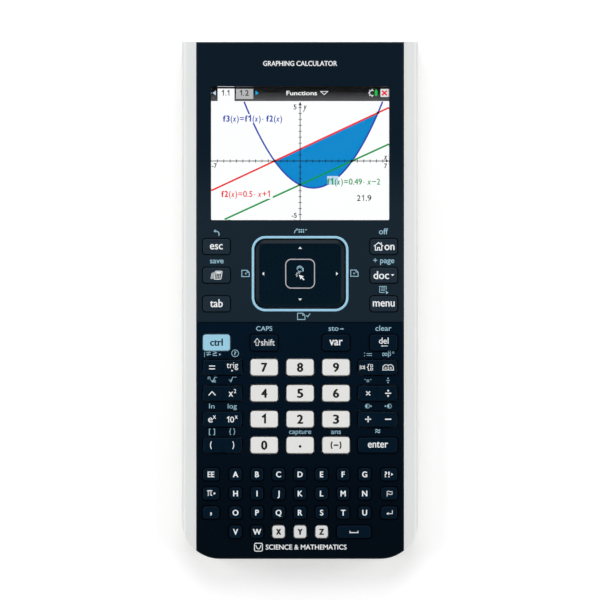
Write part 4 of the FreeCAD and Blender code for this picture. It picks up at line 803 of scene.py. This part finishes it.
def touchpadLegends():
    x, y = touchpadPrint["centre"]
    side = touchpadPrint["outline"]
    frameLine = roundBox(x, y, side, side, touchpadPrint["corner"], 8)
    outline = stroke(frameLine, touchpadPrint["line"], True)
    printOn("touchpad", [outline], "roseInk", suffix="Outline")
    arrows = []
    for dx, dy, turn in ((1, 0, 0), (0, 1, 90), (-1, 0, 180), (0, -1, 270)):
        arrows.append(pointer(x + dx * touchpadPrint["reachX"], y + dy * touchpadPrint["reachY"],
                              0.75, 1.3, turn))
    tip = [(-0.45, -0.35), (0.15, -2.1), (0.5, -1.6), (1.25, -2.45), (1.6, -2.15), (0.85, -1.25),
           (1.35, -0.95)]
    arrows.append(area([(x + px, y + py) for px, py in tip]))
    for turn in (100, 140, 180, 220, 60):
        a = math.radians(turn)
        cx, cy = x - 0.55, y - 0.35
        arrows.append(stroke([(cx + 0.5 * math.cos(a), cy + 0.5 * math.sin(a)),
                              (cx + 1.05 * math.cos(a), cy + 1.05 * math.sin(a))], 0.2))
    printOn("touchpad", arrows, "whiteInk", suffix="Arrows")
    hand = [stroke(arc(x - 0.15, y + 1.85, 0.95, -20, 230, 14), 0.26)]
    hand.append(stroke(arc(x - 0.15, y + 1.95, 0.45, 0, 200, 8), 0.22))
    hand.append(stroke([(x - 1.05, y + 1.5), (x - 0.6, y + 0.85), (x + 0.5, y + 0.85)], 0.24))
    hand.append(area(roundBox(x + 1.05, y + 1.45, 0.42, 1.3, 0.1)))
    printOn("touchpad", hand, "skyInk", suffix="Grab")


touchpadLegends()
print("face printed")


# The lit display and the window over it.

display = {
    "centre": (0.0, 53.703),
    "width": 64.95,
    "height": 48.75,
    "barHeight": 5.3,
    "origin": (0.0, 50.9),
    "unitX": 4.645,  # mm to one unit of the plot
    "unitY": 4.34,
    "level": 12.21,
    "layer": 0.03,  # mm between the layers of the picture
    "tick": (0.26, 1.15),  # mm, thickness and length of a tick on the axes
    "glow": 1.1,
}

# Lit picture colours: each is the light that the panel lets through.
lights = {
    "litWhite": ("#FFFFFF", "#FBFCFD"),
    "litFill": ("#0489CE", "#0384C8"),
    "litRed": ("#F0272C", "#E62328"),
    "litGreen": ("#0A9A48", "#089244"),
    "litBlue": ("#2743B5", "#233DA9"),
    "litBlack": ("#141416", "#0C0C0E"),
    "litGrey": ("#B9BABB", "#B0B1B2"),
    "litPale": ("#C9DCF3", "#BFD5EF"),
    "litCyan": ("#10A5DE", "#0E9CD4"),
    "litLime": ("#1FC84F", "#1BBD49"),
    "litSilver": ("#E4E6E8", "#D7DADD"),
}


def litColour(name, tint, shade):
    # liquid crystals over a white backlight: bright, with a faint unevenness
    material = bpy.data.materials.new(name + "Crystal")
    material.use_nodes = True
    tree = material.node_tree
    shader = tree.nodes["Principled BSDF"]
    place = addNode(tree, "ShaderNodeTexCoord").outputs["Object"]
    uneven = addNode(tree, "ShaderNodeTexNoise",
                     inputs={"Vector": place, "Scale": 1 / (22 * mm), "Detail": 1.0})
    colour = addNode(tree, "ShaderNodeMixRGB",
                     inputs={"Fac": uneven.outputs["Fac"], "Color1": linear(tint),
                             "Color2": linear(shade)})
    tree.links.new(colour.outputs[0], shader.inputs["Emission Color"])
    shader.inputs["Emission Strength"].default_value = display["glow"]
    shader.inputs["Base Color"].default_value = linear("#08090B")
    shader.inputs["Roughness"].default_value = 0.4
    shader.inputs["Specular IOR Level"].default_value = 0.2
    return material


def shadedBar():
    # the title bar darkens from its foot to its head, so its light follows the height
    material = bpy.data.materials.new("titleBarCrystal")
    material.use_nodes = True
    tree = material.node_tree
    shader = tree.nodes["Principled BSDF"]
    place = addNode(tree, "ShaderNodeTexCoord").outputs["Object"]
    split = addNode(tree, "ShaderNodeSeparateXYZ", inputs={0: place})
    ramp = addNode(tree, "ShaderNodeMapRange",
                   inputs={"Value": split.outputs["Y"], "From Min": 73.3 * mm, "From Max": 76.2 * mm})
    colour = addNode(tree, "ShaderNodeMixRGB",
                     inputs={"Fac": ramp.outputs[0], "Color1": linear("#4A4B4D"),
                             "Color2": linear("#030304")})
    tree.links.new(colour.outputs[0], shader.inputs["Emission Color"])
    shader.inputs["Emission Strength"].default_value = display["glow"]
    shader.inputs["Base Color"].default_value = linear("#050506")
    shader.inputs["Roughness"].default_value = 0.4
    return material


for name, (tint, shade) in lights.items():
    finishes[name] = litColour(name, tint, shade)
finishes["litBar"] = shadedBar()


def rowOfBars():
    # a row of equal bars: the ticks of a scale, or the contacts of a socket
    tree = bpy.data.node_groups.new("rowOfBars", "GeometryNodeTree")
    named = {}
    for name, kind in (("Count", "Int"), ("Start", "Vector"), ("Step", "Vector"),
                       ("Bar Size", "Vector"), ("Finish", "Material")):
        made = tree.interface.new_socket(name=name, in_out="INPUT", socket_type="NodeSocket" + kind)
        named[name] = made.identifier
    tree.interface.new_socket(name="Geometry", in_out="OUTPUT", socket_type="NodeSocketGeometry")
    given = addNode(tree, "NodeGroupInput")
    line = addNode(tree, "GeometryNodeMeshLine", inputs={
        "Count": given.outputs["Count"], "Start Location": given.outputs["Start"],
        "Offset": given.outputs["Step"]})
    bar = addNode(tree, "GeometryNodeMeshCube", inputs={"Size": given.outputs["Bar Size"]})
    rows = addNode(tree, "GeometryNodeInstanceOnPoints",
                   inputs={"Points": line.outputs["Mesh"], "Instance": bar.outputs["Mesh"]})
    real = addNode(tree, "GeometryNodeRealizeInstances", inputs={"Geometry": rows.outputs[0]})
    painted = addNode(tree, "GeometryNodeSetMaterial",
                      inputs={"Geometry": real.outputs[0], "Material": given.outputs["Finish"]})
    addNode(tree, "NodeGroupOutput", inputs={"Geometry": painted.outputs[0]})
    return tree, named


barTree, barSockets = rowOfBars()


def barRow(name, count, start, step, size, finish, body):
    holder = bpy.data.objects.new(name, bpy.data.meshes.new(name + "Seed"))
    scene.collection.objects.link(holder)
    modifier = holder.modifiers.new("row", "NODES")
    modifier.node_group = barTree
    values = {"Count": count, "Start": [v * mm for v in start], "Step": [v * mm for v in step],
              "Bar Size": [v * mm for v in size], "Finish": finishes[finish]}
    for key, value in values.items():
        modifier[barSockets[key]] = value
    return shown(name, plainMesh(holder), body)


def plotPoint(x, y):
    ox, oy = display["origin"]
    return ox + x * display["unitX"], oy + y * display["unitY"]


def parabola(x):
    return (0.49 * x - 2) * (0.5 * x + 1)


def litLayer(name, shapes, order, finish):
    level = display["level"] + order * display["layer"]
    piece = lay(name, shapes, level, finish, "case", display["layer"] * 0.7)
    return piece


def clippedLine(slope, rise, low, high):
    return stroke([plotPoint(low, slope * low + rise), plotPoint(high, slope * high + rise)], 0.62)


def litPicture():
    cx, cy = display["centre"]
    halfX, halfY = display["width"] / 2, display["height"] / 2
    foot, head = cy - halfY, cy + halfY
    barFoot = head - display["barHeight"]
    litLayer("litPage", [area(roundBox(cx, cy, halfX * 2, halfY * 2, 0.3))], 0, "litWhite")
    litLayer("litTitleBar", [rectangle(-halfX, barFoot, halfX, head)], 1, "litBar")
    curve = [plotPoint(x, parabola(x)) for x in [-2 + 8.12 * i / 48 for i in range(49)]]
    litLayer("litShadedRegion", [area(curve)], 1, "litFill")
    # the two straight graphs, cut at the edges of the plot
    litLayer("litRedGraph", [clippedLine(0.5, 1, -6.98, 6.98)], 3, "litRed")
    floorX = (foot - display["origin"][1]) / display["unitY"]
    litLayer("litGreenGraph", [clippedLine(0.49, -2, (floorX + 2 + 0.06) / 0.49, 6.98)], 3, "litGreen")
    topY = (barFoot - display["origin"][1]) / display["unitY"]
    spread = math.sqrt(0.51**2 + 0.98 * (2 + topY - 0.05))
    lowX, highX = (0.51 - spread) / 0.49, (0.51 + spread) / 0.49
    steps = 70
    bend = [plotPoint(x, parabola(x)) for x in
            [lowX + (highX - lowX) * i / steps for i in range(steps + 1)]]
    litLayer("litBlueGraph", [stroke(bend, 0.58)], 2, "litBlue")
    ox, oy = display["origin"]
    axes = [stroke([(-halfX + 0.1, oy), (halfX - 0.6, oy)], 0.3),
            stroke([(ox, foot + 0.1), (ox, barFoot - 1.0)], 0.3),
            pointer(halfX - 0.6, oy, 1.0, 1.1, 0), pointer(ox, barFoot - 0.9, 1.3, 1.2, 90)]
    axes += [dot(*plotPoint(x, y), 0.5) for x, y in ((-2, 0), (4.08, 0), (0, -2), (6.12, 4.06))]
    axes += [word("5", -1.85, 69.75, 1.75, 1.1, 0.05), word("y", 1.75, 69.6, 2.3, 1.3, 0.05, 0.25),
             word("-7", -31.3, 48.35, 1.7, 1.8, 0.05), word("7", 31.2, 48.25, 1.7, 1.1, 0.05),
             word("x", 31.2, 51.35, 2.3, 1.2, 0.05, 0.25), word("-5", -2.15, 30.2, 1.7, 1.9, 0.05),
             word("2", 21.4, 36.35, 2.05, 1.3, 0.04), figureOne(23.05, 36.35, 2.05, 0.28),
             word(".9", 24.95, 36.35, 2.05, 2.1, 0.04)]
    litLayer("litAxes", axes, 4, "litBlack")
    halfUnitX, halfUnitY = display["unitX"] / 2, display["unitY"] / 2
    line, reach = display["tick"]
    ticks = {"litTicksX": (27, (ox - 13 * halfUnitX, oy), (halfUnitX, 0), (line, reach)),
             "litTicksY": (19, (ox, oy - 9 * halfUnitY), (0, halfUnitY), (reach, line))}
    tickLevel = display["level"] + 4 * display["layer"]
    for name, (count, start, step, size) in ticks.items():
        row = barRow(name, count, (*start, tickLevel), (*step, 0), (*size, display["layer"] * 0.6),
                     "litBlack", "case")
    backings = [(-28.4, 64.7, -6.2, 68.0), (-29.0, 37.1, -10.0, 40.4), (14.0, 41.7, 30.4, 44.9)]
    litLayer("litLabelBackings", [rectangle(*edges) for edges in backings], 4, "litWhite")
    litLayer("litBlueText", formula("3", "", -28.2, 65.3, "product"), 5, "litBlue")
    litLayer("litRedText", formula("2", "0.5", -28.8, 37.8, "sum"), 5, "litRed")
    litLayer("litHighlight", [rectangle(9.9, 42.2, 14.0, 45.4)], 4, "litPale")
    litLayer("litGreenText", formula("1", "0.49", 9.8, 42.3, "difference"), 5, "litGreen")
    titleBarContents(head, barFoot)


def formula(index, factor, x, baseline, kind):
    # the function's name in heavy letters, then its rule; widths in mm
    cap = 2.15

    def piece(text, at, width, bold=0.05, slant=0.0):
        if text == "1":
            return figureOne(x + at + width / 2, baseline, cap, 0.25 + 2 * bold)
        return word(text, x + at + width / 2, baseline, cap, width, bold, slant)

    def name(number, at):
        return [piece("f", at, 1.1, 0.12), piece(number, at + 1.2, 1.3, 0.12),
                piece("(", at + 2.85, 0.7), piece("x", at + 3.6, 1.3, 0.05, 0.25),
                piece(")", at + 5.1, 0.7)]

    parts = name(index, 0.0) + [piece("=", 6.2, 1.5)]
    if kind == "product":
        return parts + name("1", 8.0) + [dot(x + 14.6, baseline + 0.8, 0.2)] + name("2", 15.8)
    width = 1.35 * len(factor) - 0.6
    after = 8.0 + width
    sign, last = ("+", "1") if kind == "sum" else ("−", "2")
    return parts + [piece(factor, 8.0, width), dot(x + after + 0.7, baseline + 0.8, 0.2),
                    piece("x", after + 1.9, 1.4, 0.05, 0.25), piece(sign, after + 3.6, 1.5),
                    piece(last, after + 5.4, 1.2)]


def titleBarContents(head, barFoot):
    middle = (head + barFoot) / 2 + 0.3
    openTab = rectangle(-30.1, barFoot - 0.05, -23.95, head - 0.75)
    litLayer("litOpenTab", [openTab], 3, "litWhite")
    otherTab = rectangle(-23.4, barFoot + 0.75, -17.1, head - 0.85)
    litLayer("litOtherTab", [otherTab], 3, "litGrey")
    litLayer("litTabNumbers", [
        figureOne(-28.1, middle - 0.95, 1.9, 0.32), dot(-27.1, middle - 0.8, 0.18),
        figureOne(-26.1, middle - 0.95, 1.9, 0.32), figureOne(-21.5, middle - 0.95, 1.9, 0.32),
        dot(-20.6, middle - 0.8, 0.18), word("2", -19.4, middle - 0.95, 1.9, 1.35, 0.05)],
             4, "litBlack")
    litLayer("litTitle", [word("Functions", 0.6, middle - 0.8, 1.55, 11.2, 0.05),
                          stroke([(7.5, middle + 0.55), (10.1, middle + 0.55),
                                  (8.8, middle - 0.6)], 0.24, True)],
             4, "litWhite")
    litLayer("litBackArrow", [pointer(-31.35, middle, 1.15, 1.8, 180)], 4, "litPale")
    litLayer("litNextArrow", [pointer(-15.7, middle, 1.2, 1.8, 0)], 4, "litCyan")
    gear = [stroke(arc(26.3, middle, 0.95, 60, 300, 12), 0.32)]
    for turn in (90, 135, 180, 225, 270):
        a = math.radians(turn)
        gear.append(dot(26.3 + 1.3 * math.cos(a), middle + 1.3 * math.sin(a), 0.2))
    litLayer("litGear", gear, 4, "litSilver")
    cell = [area(roundBox(27.75, middle, 0.95, 2.0, 0.2)),
            area(roundBox(27.75, middle + 1.1, 0.5, 0.4, 0.1))]
    litLayer("litCharge", cell, 5, "litLime")
    litLayer("litCloseButton", [area(roundBox(30.8, middle, 2.95, 2.95, 0.3))], 4, "litSilver")
    cross = [stroke([(29.9, middle - 0.85), (31.7, middle + 0.85)], 0.55),
             stroke([(29.9, middle + 0.85), (31.7, middle - 0.85)], 0.55)]
    litLayer("litCloseCross", cross, 5, "litRed")


# Contact fingers: how many, their pitch, and width, length and height in mm.
sockets = {
    "dockCount": 10, "dockPitch": 1.95, "dockContact": (0.95, 1.7, 0.12), "dockFloor": 1.1,
    "dockSetBack": 0.1, "usbSetBack": 1.0,  # mm from the mouth to the ends of the fingers
    "usbCount": 5, "usbPitch": 0.65, "usbContact": (0.34, 4.2, 0.1), "usbTongueTop": 2.15,
}


def socketContacts():
    # gilded fingers on the floor of the dock's slot and on the tongue of the round-cornered socket
    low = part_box("dock_connector")[0] / mm
    length, height = sockets["dockContact"][1:]
    start = (-sockets["dockPitch"] * (sockets["dockCount"] - 1) / 2,
             low.y + sockets["dockSetBack"] + length / 2, low.z + sockets["dockFloor"] + height / 2)
    row = barRow("dockContacts", sockets["dockCount"], start, (sockets["dockPitch"], 0, 0),
                 sockets["dockContact"], "gold_contact", "case")
    low, high = (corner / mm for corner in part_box("usb_socket"))
    length, height = sockets["usbContact"][1:]
    start = (-sockets["usbPitch"] * (sockets["usbCount"] - 1) / 2,
             high.y - sockets["usbSetBack"] - length / 2, low.z + sockets["usbTongueTop"] + height / 2)
    row = barRow("usbContacts", sockets["usbCount"], start, (sockets["usbPitch"], 0, 0),
                 sockets["usbContact"], "gold_contact", "case")


window = {
    "slack": 0.06,  # mm left between the lens and its opening
    "lens": (65.0, 48.8, 0.5),  # width, height and corner radius of the raised part
    "flange": (68.4, 52.2, 0.9),
    "base": 12.5,
    "flangeTop": 13.0,
    "top": 14.95,
    "edge": 0.12,  # polished bevel round the top
}


def windowLens():
    cx, cy = display["centre"]
    width, height, corner = window["lens"]
    flangeWidth, flangeHeight, flangeCorner = window["flange"]
    edge = window["edge"]
    width, height = width - window["slack"], height - window["slack"]
    sections = [
        (flangeWidth, flangeHeight, flangeCorner, window["base"]),
        (flangeWidth, flangeHeight, flangeCorner, window["flangeTop"]),
        (width, height, corner, window["flangeTop"]),
        (width, height, corner, window["top"] - edge),
        (width - 2 * edge, height - 2 * edge, corner, window["top"]),
    ]
    built = bmesh.new()
    rings = []
    for w, h, r, z in sections:
        rings.append([built.verts.new((x * mm, y * mm, z * mm)) for x, y in roundBox(cx, cy, w, h, r)])
    for lower, upper in zip(rings, rings[1:]):
        for i in range(len(lower)):
            j = (i + 1) % len(lower)
            built.faces.new((lower[i], lower[j], upper[j], upper[i]))
    built.faces.new(rings[0][::-1])
    built.faces.new(rings[-1])
    bmesh.ops.recalc_face_normals(built, faces=built.faces)
    mesh = bpy.data.meshes.new("windowLens")
    built.to_mesh(mesh)
    built.free()
    mesh.materials.append(finishes["clear_window"])
    lens = shown("windowLens", mesh, "case")
    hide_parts("display_window")


litPicture()
windowLens()
socketContacts()
print("display lit and sockets fitted")
